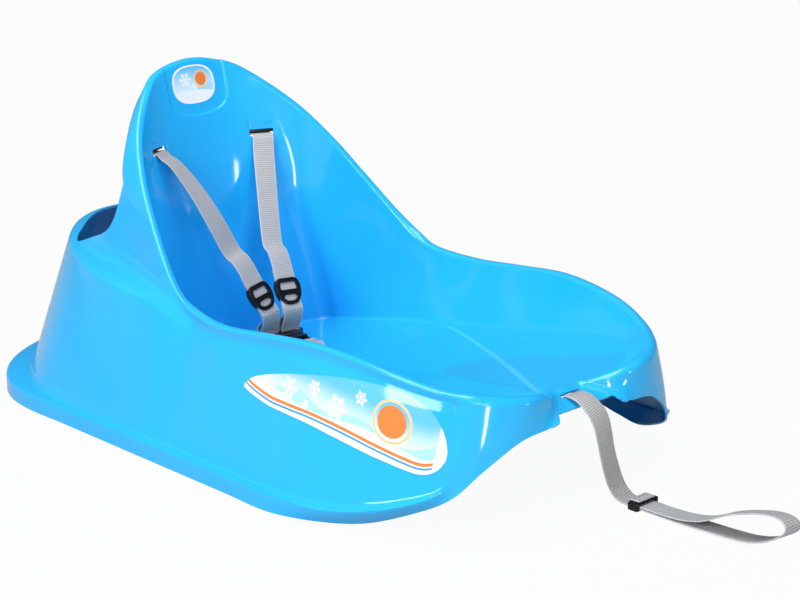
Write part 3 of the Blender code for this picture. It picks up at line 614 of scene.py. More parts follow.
rear_keys = len(RIDGE)
for line, fraction in ((LIP_EDGE, 0.04), (VALLEY, 0.07), (HOLD_EDGE, 0.10), (RIDGE, RIDGE_FRACTION)):
    for key in range(rear_keys, LAST_STATION + 1):
        top = Vector(RIM[key]) - Vector((0, 0, RIM_RADII[key]))
        outward = Vector((SKIRT[key][0] - top.x, SKIRT[key][1] - top.y, 0)).normalized()
        swell = outward * WALL_SWELL * fraction / RIDGE_FRACTION
        line.append(top.lerp(Vector(SKIRT[key]), fraction) + swell)
for key in range(len(WALL_MIDDLE), LAST_STATION + 1):
    edge_x, edge_y = FLOOR_EDGE[key]
    foot = Vector((edge_x, edge_y, floor_height(edge_x, edge_y)))
    WALL_MIDDLE.append(foot.lerp(Vector(RIM[key]), 0.5))


def shell_curve(keys, t):
    """Point on a curve of the shell, which crosses the sled's middle plane squarely at both ends."""
    before, after = ((x, -y, z) for x, y, z in (keys[1], keys[-2]))
    return curve_through([before, *keys, after], t + 1)


def section(t):
    """Corner points of the shell's section at station t."""
    edge = shell_curve([(x, y, 0) for x, y in FLOOR_EDGE], t)
    middle_x = number_through(FLOOR_MIDDLE, t)
    middle = Vector((middle_x, 0, floor_height(middle_x, 0)))
    floor_foot = Vector((edge.x, edge.y, floor_height(edge.x, edge.y)))
    wall = shell_curve(WALL_MIDDLE, t)
    top = shell_curve(RIM, t)
    lip_edge = shell_curve(LIP_EDGE, t)
    along = shell_curve(RIM, min(t + LOOK_AROUND, LAST_STATION)) - shell_curve(RIM, max(t - LOOK_AROUND, 0))
    if t in (0, LAST_STATION):
        along = Vector((0, 1, 0))
    along.normalize()
    inner_way = top - wall
    inner_way -= along * inner_way.dot(along)
    outer_way = top - lip_edge
    outer_way -= along * outer_way.dot(along)
    up = (inner_way.normalized() + outer_way.normalized()).normalized()
    across = along.cross(up)
    if across.dot(lip_edge - wall) < 0:
        across.negate()
    radius = number_through(RIM_RADII, t)
    points = [middle, floor_foot, wall, top - across * radius, top + across * radius, lip_edge]
    points += [shell_curve(line, t) for line in (VALLEY, HOLD_EDGE, RIDGE, SKIRT, FLANGE, LIP)]
    land = min(max((t - LAND_STATION) / LAND_RAMP, 0), 1)
    points[RIM_OUTER_CORNER].z -= LAND_STEP * land
    points[-1].x += (LAND_EDGE[0] - points[-1].x) * land
    points[-1].z += (LAND_EDGE[1] - points[-1].z) * land
    front = min(max((t - FLANGE_END + FLANGE_RAMP) / FLANGE_RAMP, 0), 1)
    fall = points[-1] - points[RIM_OUTER_CORNER]
    outward = Vector((fall.x, fall.y, 0)).normalized()
    for i, f in enumerate(FRONT_FALL):
        swell = outward * WALL_SWELL * math.sin(math.pi * f)
        fallen = points[RIM_OUTER_CORNER] + fall * f + swell
        points[LIP_EDGE_CORNER + i] = points[LIP_EDGE_CORNER + i].lerp(fallen, front)
    return points


def rounded(points):
    """A section with each inner corner rounded, always with the same point count."""
    out = [points[0]]
    cursor = points[0]
    for i in range(1, len(points) - 1):
        before = points[i - 1] - points[i]
        after = points[i + 1] - points[i]
        r = min(CORNER_RADII[i], 0.45 * before.length, 0.45 * after.length)
        start = points[i] + before.normalized() * r
        end = points[i] + after.normalized() * r
        out += [cursor.lerp(start, k / RUN_STEPS[i]) for k in range(1, RUN_STEPS[i] + 1)]
        for k in range(1, ARC_STEPS[i] + 1):
            f = k / ARC_STEPS[i]
            out.append(start.lerp(points[i], f).lerp(points[i].lerp(end, f), f))
        cursor = end
    out += [cursor.lerp(points[-1], k / RUN_STEPS[-1]) for k in range(1, RUN_STEPS[-1] + 1)]
    return out


def row_of_corner(index):
    """Row number at which corner number index of a section has been passed."""
    return sum(RUN_STEPS[1:index + 1]) + sum(ARC_STEPS[1:index + 1])


def smooth_rise(value):
    """A smooth step from 0 to 1 as value goes from 0 to 1."""
    f = min(max(value, 0), 1)
    return f * f * (3 - 2 * f)


def panel_recess(point):
    """How deep the head panel is at a point of the back."""
    below = max(PANEL_ROUND_START - point.z, 0) / PANEL_ROUND_DEPTH
    across = abs(point.y) / PANEL_HALF_WIDTH
    reach = (across ** OVAL_POWER + below ** OVAL_POWER) ** (1 / OVAL_POWER)
    return PANEL_DEPTH * smooth_rise((PANEL_EDGE[0] - reach) / PANEL_EDGE[1])


def frame_at(centre, x_way, y_way):
    """Matrix that takes a piece's own millimetres to the sled's."""
    x_axis = Vector(x_way).normalized()
    y_axis = (Vector(y_way) - x_axis * x_axis.dot(Vector(y_way))).normalized()
    turn = Matrix((x_axis, y_axis, x_axis.cross(y_axis))).transposed()
    return Matrix.Translation(Vector(centre)) @ turn.to_4x4()


def slot_frame(side):
    """Frame of a shoulder slot: x out of the wall, y along the slot and z up."""
    x, y, z = SHOULDER_SLOT
    nx, ny, nz = SHOULDER_SLOT_NORMAL
    return frame_at((x, side * y, z), (nx, side * ny, nz), (-side * ny, nx, 0))


def pocket_recess(point):
    """How deep the sloping pocket above a shoulder slot is at a point of the back."""
    place = to_slot @ point
    if abs(place.x) > POCKET_REACH:
        return 0
    side = smooth_rise((SLOT_WIDTH / 2 + POCKET_MARGIN - abs(place.y)) / POCKET_SIDE_RUN)
    from_top = SLOT_HEIGHT / 2 + POCKET_HEIGHT - place.z
    share = POCKET_LEAST_SHARE + (1 - POCKET_LEAST_SHARE) * from_top / POCKET_HEIGHT
    slope = smooth_rise(from_top / POCKET_END_RUN) * share
    below = smooth_rise((place.z + SLOT_HEIGHT / 2 + POCKET_END_RUN) / POCKET_END_RUN)
    return POCKET_DEPTH * side * min(slope, 1) * below


stations = [0.0]
for first, last, count in STATION_RUNS:
    stations += [first + (last - first) * k / count for k in range(1, count + 1)]
to_slot = slot_frame(1).inverted()
bm = bmesh.new()
grid = []
for t in stations:
    row = rounded(section(t))
    if t in (0, LAST_STATION):
        for point in row:
            point.y = 0
    grid.append([bm.verts.new(point) for point in row])
hole_start = row_of_corner(LIP_EDGE_CORNER)
hole_end = row_of_corner(HOLD_EDGE_CORNER)
for i in range(len(stations) - 1):
    behind = stations[i + 1] <= TIP_STATION
    for j in range(len(grid[0]) - 1):
        if behind and hole_start <= j < hole_end:
            continue
        bm.faces.new((grid[i][j], grid[i + 1][j], grid[i + 1][j + 1], grid[i][j + 1]))
fine = []
for edge in bm.edges:
    middle = (edge.verts[0].co + edge.verts[1].co) / 2
    on_panel = middle.z > FINE_PANEL_FROM_Z and middle.y < FINE_PANEL_HALF_WIDTH
    if on_panel or (to_slot @ middle).length < FINE_SLOT_REACH:
        fine.append(edge)
bmesh.ops.subdivide_edges(bm, edges=fine, cuts=2, use_grid_fill=True)
for vert in bm.verts:
    if vert.co.z > RECESSES_FROM_Z:
        recess = panel_recess(vert.co)
        vert.co -= Vector((recess, 0, 0.5 * recess))
        vert.co -= Vector(SHOULDER_SLOT_NORMAL) * pocket_recess(vert.co)
bmesh.ops.remove_doubles(bm, verts=bm.verts, dist=0.02)
bmesh.ops.delete(bm, geom=[v for v in bm.verts if not v.link_faces], context="VERTS")
shell = to_object("shell_moulding", bm, SHELL_SMOOTH_DEGREES)
mirror = shell.modifiers.new("two_sides", "MIRROR")
mirror.use_axis = (False, True, False)
mirror.merge_threshold = 0.0001
wall = shell.modifiers.new("wall", "SOLIDIFY")
wall.thickness = WALL * MM
wall.offset = -1
settle(shell, SHELL_SMOOTH_DEGREES)

turned = Matrix(((0, 0, 1, 0), (0, 1, 0, 0), (-1, 0, 0, 0), (0, 0, 0, 1)))
slots = [(SLOT_HEIGHT / 2, slot_frame(side) @ turned) for side in (-1, 1)]
slots += [(FLOOR_SLOT_HEIGHT / 2, Matrix.Translation(centre)) for centre in (CROTCH_SLOT, TOW_SLOT)]
openings = []
for half_height, place in slots:
    outline = rectangle(-half_height, -SLOT_WIDTH / 2, half_height, SLOT_WIDTH / 2, SLOT_CORNER_RADIUS)
    openings.append(placed("slot", plate(outline, [(0, -8), (0, 8)]), place))
shaped(shell, "DIFFERENCE", openings, SHELL_SMOOTH_DEGREES)

SHELL_BLUE = (0.016, 0.45, 0.93)
SHELL_PALE = (0.026, 0.50, 0.96)
# Pale cyan of a painted highlight along the floor's V crease
CREASE_PAINTED_HIGHLIGHT = (0.14, 0.72, 1.0)
blue_plastic = Finish("glossy_blue_polypropylene", SHELL_BLUE, 0.12)
place = blue_plastic.place()
cloud = blue_plastic.noise(place, 7.0, 3.0)
grain = blue_plastic.noise(place, 1100.0, 1.0)
foot = blue_plastic.step(blue_plastic.axis(place, 2), 0.025, 0.0)
scuffs = blue_plastic.noise(place, 45.0) * foot
# A narrow band along the floor's V crease is mixed towards a pale cyan: a painted highlight on the crease
# line. The bump lifts the same band a little.
from_centre = abs(blue_plastic.axis(place, 1))
ahead = blue_plastic.axis(place, 0) - (CREASE_OUTER[0] + CENTRE_SHIFT) * MM
off_crease = abs((from_centre - CREASE_OUTER[1] * MM) * CREASE_WAY.x - ahead * CREASE_WAY.y)
on_crease = blue_plastic.step(off_crease, CREASE_BAND[0] * MM, CREASE_BAND[1] * MM)
on_crease *= from_centre < CREASE_END_Y * MM
blue_plastic.set("Base Color", blue_plastic.mix(
    on_crease * 0.4, blue_plastic.mix(cloud, SHELL_BLUE, SHELL_PALE), CREASE_PAINTED_HIGHLIGHT))
blue_plastic.set("Roughness", cloud * 0.04 + 0.07 + scuffs * 0.12)
blue_plastic.set("Normal", blue_plastic.bump(grain * 0.01 + on_crease, 0.0008, 0.6))
dress(shell, blue_plastic, "sled", "shell")

# Each side has a leaf-shaped printed film on its wall, and the back an oval one in the head
# panel: white vinyl with a winter print under a clear coat, cut to shape and stuck on.
DECAL_EDGES = [
    (115, 102, 105), (127, 98, 114), (155, 93, 123), (180, 91.5, 128.5), (211, 89, 134),
    (243, 84, 137.5), (275, 78, 138.5), (304, 71.5, 136), (321, 67, 130.5), (336, 63.5, 121.5),
    (346, 64.5, 109), (352, 69, 97), (355.5, 77, 84)]
DECAL_STEPS = 8
DECAL_ROWS = 24
BACK_FILM = (-3.0, 337.5, 30.0, 21.5)
BACK_FILM_COLUMNS = 60
BACK_FILM_ROWS = 16
FILM_START_Y = 400
FILM_OFFSET = 0.3
FILM_THICKNESS = 0.2
SUN_ORANGE = (0.93, 0.24, 0.045)
FILM_WHITE = (0.93, 0.95, 0.97)


def film(name, columns, way):
    """A film on the shell: columns of (point, print place) pushed along way until they meet it.

    Its UV map holds its print's millimetres: a side film's run along the sled and up from its
    lower edge, the back one's across and up from its middle.
    """
    bpy.context.view_layer.update()
    bm = bmesh.new()
    print_map = bm.loops.layers.uv.new("print")
    shift = Vector((CENTRE_SHIFT, 0, 0))
    grid = []
    for column in columns:
        line = []
        for point, uv in column:
            place, normal = shell.ray_cast((Vector(point) + shift) * MM, way)[1:3]
            line.append((bm.verts.new(place / MM - shift + normal * (FILM_OFFSET + FILM_THICKNESS)), uv))
        grid.append(line)
    for i in range(len(grid) - 1):
        for j in range(len(grid[0]) - 1):
            corners = (grid[i][j], grid[i + 1][j], grid[i + 1][j + 1], grid[i][j + 1])
            quad = bm.faces.new([vert for vert, uv in corners])
            for loop, (vert, uv) in zip(quad.loops, corners):
                loop[print_map].uv = uv
    bm.normal_update()
    if sum((face.normal for face in bm.faces), Vector()).dot(Vector(way)) > 0:
        bmesh.ops.reverse_faces(bm, faces=bm.faces)
    patch = to_object(name, bm)
    thick = patch.modifiers.new("thickness", "SOLIDIFY")
    thick.thickness = FILM_THICKNESS * MM
    thick.offset = -1
    settle(patch)
    return patch


def crystal(finish, x, z, centre, reach):
    """A mask of one snow crystal: six arms, each with a pair of twigs."""
    dx = x - centre[0]
    dz = z - centre[1]
    distance = finish.math("SQRT", dx * dx + dz * dz)
    folded = finish.math("PINGPONG", finish.math("ARCTAN2", dz, dx) + math.pi, math.pi / 6)
    off_arm = distance * finish.math("SINE", folded)
    up_arm = distance * finish.math("COSINE", folded)
    arm = (off_arm < 0.085 * reach) * (distance < reach)
    twig = abs(off_arm - (up_arm - 0.45 * reach) * 1.5) < 0.13 * reach
    small_twig = abs(off_arm - (up_arm - 0.72 * reach) * 1.5) < 0.11 * reach
    twigs = finish.math("MAXIMUM", twig * (off_arm < 0.3 * reach), small_twig * (off_arm < 0.18 * reach))
    return finish.math("MAXIMUM", arm, twigs)


def winter_print(finish, x, z, ground, crystals):
    """Sky, two rows of hills and snow crystals, in a print's own millimetres."""
    sky = finish.step(z, ground + 4, ground + 34)
    colour = finish.mix(sky, (0.72, 0.90, 1.0), (0.12, 0.56, 0.93))
    far = z < (ground + 8 + finish.math("SINE", x * 0.075) * 4.5)
    colour = finish.mix(far, colour, (0.42, 0.78, 0.97))
    near = z < (ground + 2 + finish.math("SINE", x * 0.043 + 1.9) * 4)
    colour = finish.mix(near, colour, (0.93, 0.97, 1.0))
    for centre, reach in crystals:
        colour = finish.mix(crystal(finish, x, z, centre, reach), colour, (0.95, 0.98, 1.0))
    return colour


def sun(finish, colour, x, z, centre, radius, ring_radius, ring_half_width):
    """A colour with a sun's disc and a thin ring round it laid over."""
    dx = x - centre[0]
    dz = z - centre[1]
    away = finish.math("SQRT", dx * dx + dz * dz)
    ringed = finish.mix(abs(away - ring_radius) < ring_half_width, colour, (1.0, 0.62, 0.28))
    return finish.mix(away < radius, ringed, SUN_ORANGE)


def film_finish(name):
    """A finish of clear-coated film, and its print's two axes in millimetres."""
    finish = Finish(name, (0.9, 0.93, 0.96), 0.18, Coat_Roughness=0.06)
    mottle = finish.noise(finish.place(), 240.0)
    finish.set("Roughness", mottle * 0.08 + 0.12)
    finish.set("Coat Weight", mottle * 0.2 + 0.5)
    finish.set("Normal", finish.bump(mottle, 0.00004, 0.4))
    print_place = finish.node("ShaderNodeUVMap", {"uv_map": "print"})
    return finish, finish.axis(print_place, 0), finish.axis(print_place, 1)


side_print, x, z = film_finish("winter_print_on_side_film")
colour = winter_print(side_print, x, z, 14, [((146, 17), 9), ((180, 24), 11), ((212, 33), 8),
                                             ((243, 26), 12), ((268, 44), 7), ((205, 15), 5.5)])
colour = sun(side_print, colour, x, z, (304, 36), 14.5, 18.5, 1.2)
for height, half_width, tone in ((9.5, 1.5, SUN_ORANGE), (5.6, 1.0, (0.06, 0.36, 0.78))):
    band = abs(z - height - side_print.math("SINE", x * 0.03) * 1.2) < half_width
    colour = side_print.mix(band, colour, tone)
border = side_print.math("MAXIMUM", z < 2.6, x > 347)
side_print.set("Base Color", side_print.mix(border, colour, FILM_WHITE))
for name, side in (("right", -1), ("left", 1)):
    columns = []
    for k in range(DECAL_STEPS * (len(DECAL_EDGES) - 1) + 1):
        along_x, low, high = curve_through(DECAL_EDGES, k / DECAL_STEPS)
        heights = [(high - low) * j / DECAL_ROWS for j in range(DECAL_ROWS + 1)]
        columns.append([((along_x, side * FILM_START_Y, low + height), (along_x, height))
                        for height in heights])
    patch = film("side_film_" + name, columns, (0, -side, 0))
    dress(patch, side_print, "sled", "side_decal_" + name)

middle_y, middle_z, half_width, half_height = BACK_FILM
back_print, x, z = film_finish("winter_print_on_back_film")
colour = winter_print(back_print, x, z, -12, [((-11, 6), 8.5), ((1, -3), 4.5)])
colour = sun(back_print, colour, x, z, (11, 5), 7.6, 9.3, 0.7)
reach = (abs(x) / half_width) ** OVAL_POWER + (abs(z) / half_height) ** OVAL_POWER
back_print.set("Base Color", back_print.mix(reach > 0.8, colour, FILM_WHITE))
columns = []
for k in range(BACK_FILM_COLUMNS + 1):
    share = math.cos(math.pi * (0.02 + 0.96 * k / BACK_FILM_COLUMNS))
    rise = half_height * (1 - abs(share) ** OVAL_POWER) ** (1 / OVAL_POWER)
    heights = [rise * (2 * j / BACK_FILM_ROWS - 1) for j in range(BACK_FILM_ROWS + 1)]
    columns.append([((0, middle_y + half_width * share, middle_z + height), (half_width * share, height))
                    for height in heights])
dress(film("back_film", columns, (-1, 0, 0)), back_print, "sled", "back_decal")

# The shoulder straps are the same webbing.  Each is looped round a bar behind the back, comes
# through its slot, passes its lock and the buckle's bar and goes back up through the lock.
LAYER_STEP = 1.9
BUCKLE_LANE = 14.5
BAR_TURN_RADIUS = 3.1
HALF_TURN = (0, 45, 90, 135, 180)
BUCKLE = frame_at((-84, 10, 65), (0.9854, -0.1227, 0.03), (0.1236, 0.9923, 0))
SHOULDERS = {
    "right": (-1, frame_at((-88, -10.5, 112), (0.49, 0.2, -0.85), (-0.1, 0.96, 0.22))),
    "left": (1, frame_at((-84, 26, 112), (0.503, -0.121, -0.856), (0.2, 0.97, -0.02)))}
SHOULDER_LOOP = (-9, 0, 2.2)
STRAP_HANG = 8.0
HANG_START = -36
HANG_RUN = 26
STRAP_BULGES = {-1: (7.5, 10, 6.5), 1: (-2, -2, -2)}


def at(frame_matrix, px, py, pz):
    """A point of a piece's own frame, in the sled's."""
    return frame_matrix @ Vector((px, py, pz))


def axes(frame_matrix):
    """The x, y and z directions of a piece's own frame, in the sled's."""
    return [frame_matrix.col[number].xyz for number in range(3)]


def hang(along):
    """How far a shoulder strap hangs out of its lock's plane, that far along the lock."""
    return -STRAP_HANG * (min(0, along - HANG_START) / HANG_RUN) ** 2


def shoulder_keys(side, lock):
    """Keys of one shoulder strap from its sewn loop to its tail in the lock."""
    slot = slot_frame(side)
    out, slot_way, up = axes(slot)
    ahead, lock_way, face = axes(lock)
    bar_way = axes(BUCKLE)[1]
    keys = loop_round(at(slot, *SHOULDER_LOOP), out, -up, slot_way)
    keys += [(at(slot, -5, 0, -1.9), slot_way), (at(slot, -1, 0, -1.9), slot_way),
             (at(slot, 2.6, 0, -3.4), slot_way), (at(slot, 6.2, 0, -7.6), slot_way)]
    start = at(slot, 6.2, 0, -7.6)
    end = at(lock, -62, 0, hang(-62))
    for f, bulge in zip((0.12, 0.4, 0.7), STRAP_BULGES[side]):
        turned = slot_way.lerp(lock_way, min(1, 1.3 * f))
        keys.append((start.lerp(end, f) + face * bulge, turned))
    keys += [(at(lock, x, 0, hang(x)), lock_way) for x in (-62, -50, -43, -36, -28, -11, 0, 15, 22)]
    lane = side * BUCKLE_LANE
    between_ways = lock_way.lerp(bar_way, 0.5)
    front = at(BUCKLE, BAR_TURN_RADIUS, lane, 6)
    middle = at(lock, 22, 0, 0).lerp(front, 0.45) + Vector((1.6, 0, 0))
    keys += [(middle, between_ways), (front, bar_way)]
    for degrees in HALF_TURN:
        a = math.radians(degrees)
        keys.append((at(BUCKLE, BAR_TURN_RADIUS * math.cos(a), lane,
                        -2 - BAR_TURN_RADIUS * math.sin(a)), bar_way))
    back = at(BUCKLE, -BAR_TURN_RADIUS, lane, 5)
    below_lock = at(lock, 25, 0, -5.6)
    middle = back.lerp(below_lock, 0.5) + Vector((-3.2, 0, 0))
    keys += [(back, bar_way), (middle, between_ways), (below_lock, lock_way)]
    keys += [(at(lock, x, 0, hang(x) - LAYER_STEP), lock_way) for x in (16, 6, -6, -17, -28)]
    return keys


for name, (side, lock) in SHOULDERS.items():
    strap = to_object("shoulder_webbing_" + name, ribbon(shoulder_keys(side, lock)))
    dress(strap, webbing, "sled", "shoulder_strap_" + name)

# The locks are moulded black acetal: a rounded frame that narrows downwards, with a channel
# for two layers of webbing, a window over its jaw and a lens-shaped one below the cross bar.
LOCK_CORNERS = [(-16, -12), (-9, -16), (5, -15.6), (16, -8)]
UPPER_WINDOW = [(-10.5, -9.6), (-1.8, -10.4)]
LOWER_WINDOW = [(4.2, -6.5), (7.4, -9), (11.4, -4.5)]
LOCK_LOW = -4.9
LOCK_FACE = 3.0


def both_sides(corners, radius):
    """A rounded outline from its corners at negative y and their mirror images."""
    return soft_outline(corners + [(px, -py) for px, py in reversed(corners)], radius)


for name, (side, lock) in SHOULDERS.items():
    block = plate(both_sides(LOCK_CORNERS, 7), rounded_rims(LOCK_LOW, LOCK_FACE, 1.7, 6))
    body = placed("lock_" + name, block, lock)
    channel = plate(rectangle(-20, -CHANNEL_HALF_WIDTH, 20, CHANNEL_HALF_WIDTH, 0.5), [(0, -3.1), (0, 1.1)])
    below = plate(rectangle(-8, -10, 8, 10, 2), [(0, -7), (0, -2.5)])
    windows = [plate(both_sides(corners, radius), flared_hole(-0.5, LOCK_FACE, 0.9))
               for corners, radius in ((UPPER_WINDOW, 2.2), (LOWER_WINDOW, 3.2))]
    shaped(body, "DIFFERENCE", [placed("tool", bm, lock) for bm in [channel, below] + windows])
    dress(body, black_plastic, "lock_" + name, "adjuster_" + name)

# The buckle's socket is a black acetal yoke: each shoulder strap passes one of its two
# windows round the rear bar, and its mouth takes the plug's two prongs.
YOKE_CORNERS = [(-1.75, -30), (6, -30), (9.5, -27.5), (16, -16), (24, -16)]
yoke = plate(both_sides(YOKE_CORNERS, 1.6), rounded_rims(-2.5, 2.5, 0.9))
socket = placed("buckle_socket_body", yoke, BUCKLE)
mouth = plate(rectangle(10, -17, 28, 17, 3), rounded_rims(-5, 5, 1.8, 5))
shaped(socket, "UNION", [placed("tool", mouth, BUCKLE)])
passages = [plate(rectangle(1.75, low, 6.75, high, 0.8), [(0, -6), (0, 6)])
            for low, high in ((-28, -1), (1, 28))]
passages += [plate(rectangle(17, -13.5, 32, 13.5, 0.8), [(0, -3), (0, 3)]),
             plate(rectangle(14.5, -5, 22, 5, 2.2), flared_hole(4.3, 5, 0.5))]
shaped(socket, "DIFFERENCE", [placed("tool", bm, BUCKLE) for bm in passages])
dress(socket, black_plastic, "sled", "buckle_socket")

# The plug is the other half: a grip with two prongs that reach into the socket, and a
# frame whose bar holds the crotch strap.
grip = plate(rectangle(28.6, -17, 36, 17, 2), rounded_rims(-4.3, 4.3, 1.3))
plug = placed("buckle_plug_body", grip, BUCKLE)
additions = [plate(rectangle(34, -16, 54.75, 16, 3), rounded_rims(-2.2, 2.2, 0.9))]
additions += [plate(rectangle(19, low, 30, high, 1.5), rounded_rims(-2.3, 2.3, 0.6))
              for low, high in ((7, 12), (-12, -7))]
shaped(plug, "UNION", [placed("tool", bm, BUCKLE) for bm in additions])
passage = plate(rectangle(38, -13.2, 51.25, 13.2, 1.2), [(0, -4), (0, 4)])
shaped(plug, "DIFFERENCE", [placed("tool", passage, BUCKLE)])
dress(plug, black_plastic, "plug", "buckle_plug")

# The crotch strap is a short webbing: looped on the plug's bar, it rises over a hump and
# goes down through the slot in the seat's floor.
PLUG_BAR_X = 53
PLUG_TURN_RADIUS = 3.9
CROTCH_LOOP = (CROTCH_SLOT[0] - 0.5 + LOOP_RADIUS, 0, CROTCH_SLOT[2] - 10)
way = axes(BUCKLE)[1]
x, y, z = CROTCH_SLOT
crotch_keys = [(at(BUCKLE, ahead, 0, -PLUG_TURN_RADIUS), way) for ahead in (67, 60)]
for degrees in HALF_TURN:
    a = math.radians(degrees)
    crotch_keys.append((at(BUCKLE, PLUG_BAR_X - PLUG_TURN_RADIUS * math.sin(a), 0,
                           -PLUG_TURN_RADIUS * math.cos(a)), way))
crotch_keys += [(at(BUCKLE, ahead, 0, PLUG_TURN_RADIUS), way) for ahead in (60, 67)]
crotch_keys += [((x - 6, y + 0.6, z + 11), way.lerp(across_sled, 0.5)),
                ((x - 1.4, y, z + 7), across_sled), ((x - 0.5, y, z + 2), across_sled)]
crotch_keys += loop_round(CROTCH_LOOP, (0, 0, 1), (-1, 0, 0), across_sled)[::-1]
crotch = to_object("crotch_webbing", ribbon(crotch_keys))
dress(crotch, webbing, "sled", "crotch_strap")

# Rows of grey thread close the webbing's loops.  One tree of Geometry Nodes lays them: a grid
# of short stitches that stand a little proud of the webbing's face.
STITCH_SIZES = {"Rows": 3, "Columns": 9, "Length": 8.0, "Width": 21.0, "Thread": 0.32}


def stitch_tree():
    """A tree that lays Rows by Columns stitches over Length by Width, and gives them Finish."""
    tree = bpy.data.node_groups.new("webbing_stitches", "GeometryNodeTree")
    tree.interface.new_socket("Geometry", in_out="OUTPUT", socket_type="NodeSocketGeometry")
    kinds = {"Rows": "Int", "Columns": "Int", "Length": "Float", "Width": "Float", "Thread": "Float",
             "Finish": "Material"}
    for label, kind in kinds.items():
        tree.interface.new_socket(label, in_out="INPUT", socket_type="NodeSocket" + kind)
    graph = Graph(tree)
    sizes = tree.nodes.new("NodeGroupInput").outputs
    rows, columns, length, width, thread, finish = [Wire(graph, sizes[label]) for label in kinds]
    seam = graph.node("GeometryNodeMeshGrid", {}, {
        "Size X": length, "Size Y": width, "Vertices X": rows, "Vertices Y": columns})
    stitch = graph.node("GeometryNodeMeshUVSphere", {}, {"Segments": 8, "Rings": 6, "Radius": thread})
    laid = graph.node("GeometryNodeInstanceOnPoints", {}, {
        "Points": seam, "Instance": stitch, "Scale": (1.2, 3.4, 1.0)})
    whole = graph.node("GeometryNodeRealizeInstances", {}, {"Geometry": laid})
    finished = graph.node("GeometryNodeSetMaterial", {}, {"Geometry": whole, "Material": finish})
    tree.links.new(finished.socket, tree.nodes.new("NodeGroupOutput").inputs["Geometry"])
    return tree


thread_finish = Finish("grey_sewing_thread", (0.3, 0.3, 0.33), 0.6)
strands = thread_finish.noise(thread_finish.place(), 2500.0)
thread_finish.set("Base Color", thread_finish.mix(strands, (0.2, 0.2, 0.22), (0.42, 0.42, 0.45)))
thread_finish.set("Normal", thread_finish.bump(strands, 0.0001, 0.7))
stitches = stitch_tree()
seams = {
    "tow_tail_seam": (frame_at((TOW_SLIDER_X + 1.2, TOW_LANE, 10.4), (1, 0, -0.05), (0, 1, 0)), "slider"),
    "crotch_seam": (frame_at(at(BUCKLE, 64, 0, 4.85), *axes(BUCKLE)[:2]), "sled")}
for name, (place, body) in seams.items():
    seam = bpy.data.objects.new(name, bpy.data.meshes.new(name))
    bpy.context.scene.collection.objects.link(seam)
    maker = seam.modifiers.new("stitches", "NODES")
    maker.node_group = stitches
    for item in stitches.interface.items_tree:
        if item.in_out == "INPUT":
            maker[item.identifier] = STITCH_SIZES.get(item.name, thread_finish.material)
    settle(seam, 180)
    shift = Matrix.Translation((CENTRE_SHIFT, 0, 0))
    seam.data.transform(Matrix.Scale(MM, 4) @ shift @ place)
    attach(seam, body)

# Behind the back, under the floor and under the front land a black acetal bar sits in each
# strap's loop, longer than the slot, so that the strap can't pull through.
STOP_LENGTH = 40.0
STOP_SIZE = 5.0
stops = [("crotch", "crotch_stop", Matrix.Translation(CROTCH_LOOP)),
         ("tow", "tow_stop", Matrix.Translation(TOW_LOOP))]
for name, (side, lock) in SHOULDERS.items():
    slot = slot_frame(side)
    bar_place = frame_at(at(slot, *SHOULDER_LOOP), *axes(slot)[:2])
    stops.append(("shoulder_" + name, "shoulder_stop_" + name, bar_place))
half_size = STOP_SIZE / 2
for name, node, place in stops:
    outline = rectangle(-half_size, -STOP_LENGTH / 2, half_size, STOP_LENGTH / 2, 1.2)
    bar = placed(name + "_bar", plate(outline, rounded_rims(-half_size, half_size, 1.0)), place)
    dress(bar, black_plastic, "sled", node)

# The studio: a plain pale floor, a white world behind it, a broad soft lamp overhead and
# smaller ones whose reflections give the plastic its highlights.
bpy.context.scene.view_settings.view_transform = "Standard"
FLOOR_HALF_SIZE = 8000
CAMERA_RAY = 0
GLOSSY_RAY = 3
THROUGH_RAY = 6
floor_finish = Finish("pale_floor", (0.5, 0.5, 0.505), 0.9, Specular_IOR_Level=0.0)
patches = floor_finish.noise(floor_finish.place(), 3.0)
floor_finish.set("Base Color", floor_finish.mix(patches, (0.49, 0.49, 0.495), (0.51, 0.51, 0.515)))
lit = Wire(floor_finish, floor_finish.shader.outputs[0])
white = floor_finish.node("ShaderNodeEmission", {}, {"Color": (1, 1, 1, 1), "Strength": 1.0})
seen = floor_finish.math("MAXIMUM", floor_finish.ray_kind(CAMERA_RAY), floor_finish.ray_kind(THROUGH_RAY))
share = floor_finish.math("MAXIMUM", seen * 0.95, floor_finish.ray_kind(GLOSSY_RAY) * 0.2)
surface = floor_finish.node("ShaderNodeMixShader", {}, {0: share, 1: lit, 2: white})
floor_finish.surface(surface, "Material Output")
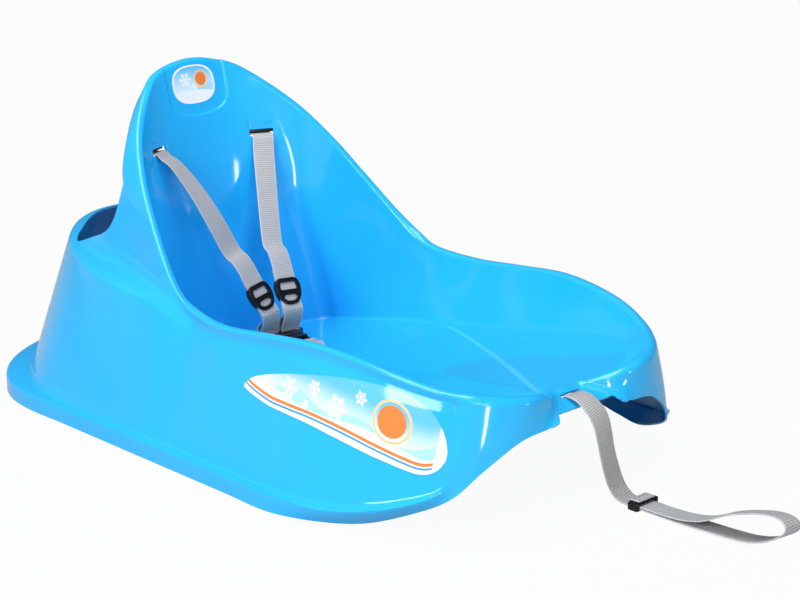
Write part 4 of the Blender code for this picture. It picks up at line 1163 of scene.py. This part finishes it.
bm = bmesh.new()
bmesh.ops.create_grid(bm, x_segments=1, y_segments=1, size=FLOOR_HALF_SIZE)
studio_floor = to_object("studio_floor", bm)
floor_finish.paint(studio_floor)

world = bpy.data.worlds.new("studio")
bpy.context.scene.world = world
world.use_nodes = True
sky = Graph(world.node_tree)
backdrop = sky.tree.nodes["Background"]
backdrop.inputs["Color"].default_value = (1, 1, 1, 1)
backdrop.inputs["Strength"].default_value = 1.0
direction = sky.node("ShaderNodeTexCoord")
horizon = sky.step(sky.axis(direction, 2), 0.05, 0.16, 0.6, 0.34)
far_side = sky.step(sky.axis(direction, 1), -0.2, 0.4, 1.0, 0.3)
ambient = sky.node("ShaderNodeBackground", {}, {"Color": (0.95, 0.97, 1, 1), "Strength": horizon * far_side})
seen = sky.math("MAXIMUM", sky.ray_kind(CAMERA_RAY), sky.ray_kind(THROUGH_RAY))
either = sky.node("ShaderNodeMixShader", {}, {0: seen, 1: ambient, 2: Wire(sky, backdrop.outputs[0])})
sky.surface(either, "World Output")


def soft_lamp(name, centre, target, size, power):
    """A rectangular lamp of the given size in metres that faces a target."""
    data = bpy.data.lights.new(name, "AREA")
    data.shape = "RECTANGLE"
    data.size, data.size_y = size
    data.energy = power
    lamp = bpy.data.objects.new(name, data)
    lamp.location = centre
    lamp.rotation_euler = (Vector(target) - Vector(centre)).to_track_quat("-Z", "Y").to_euler()
    bpy.context.scene.collection.objects.link(lamp)


soft_lamp("overhead_lamp", (0.2, -0.3, 2.4), (0, 0, 0), (1.6, 1.6), 41)
soft_lamp("side_lamp", (0.6, -2.6, 1.4), (0, 0, 0.15), (1.6, 1.0), 45)
soft_lamp("front_lamp", (2.9, -1.2, 1.5), (0, 0, 0.15), (1.0, 0.9), 9)
soft_lamp("front_strip_lamp_right", (1.75, -0.62, 0.2), (0.38, 0.04, 0.11), (0.08, 0.5), 4)
soft_lamp("front_strip_lamp_left", (1.8, 0.6, 0.1), (0.39, 0.06, 0.11), (0.08, 0.5), 3)
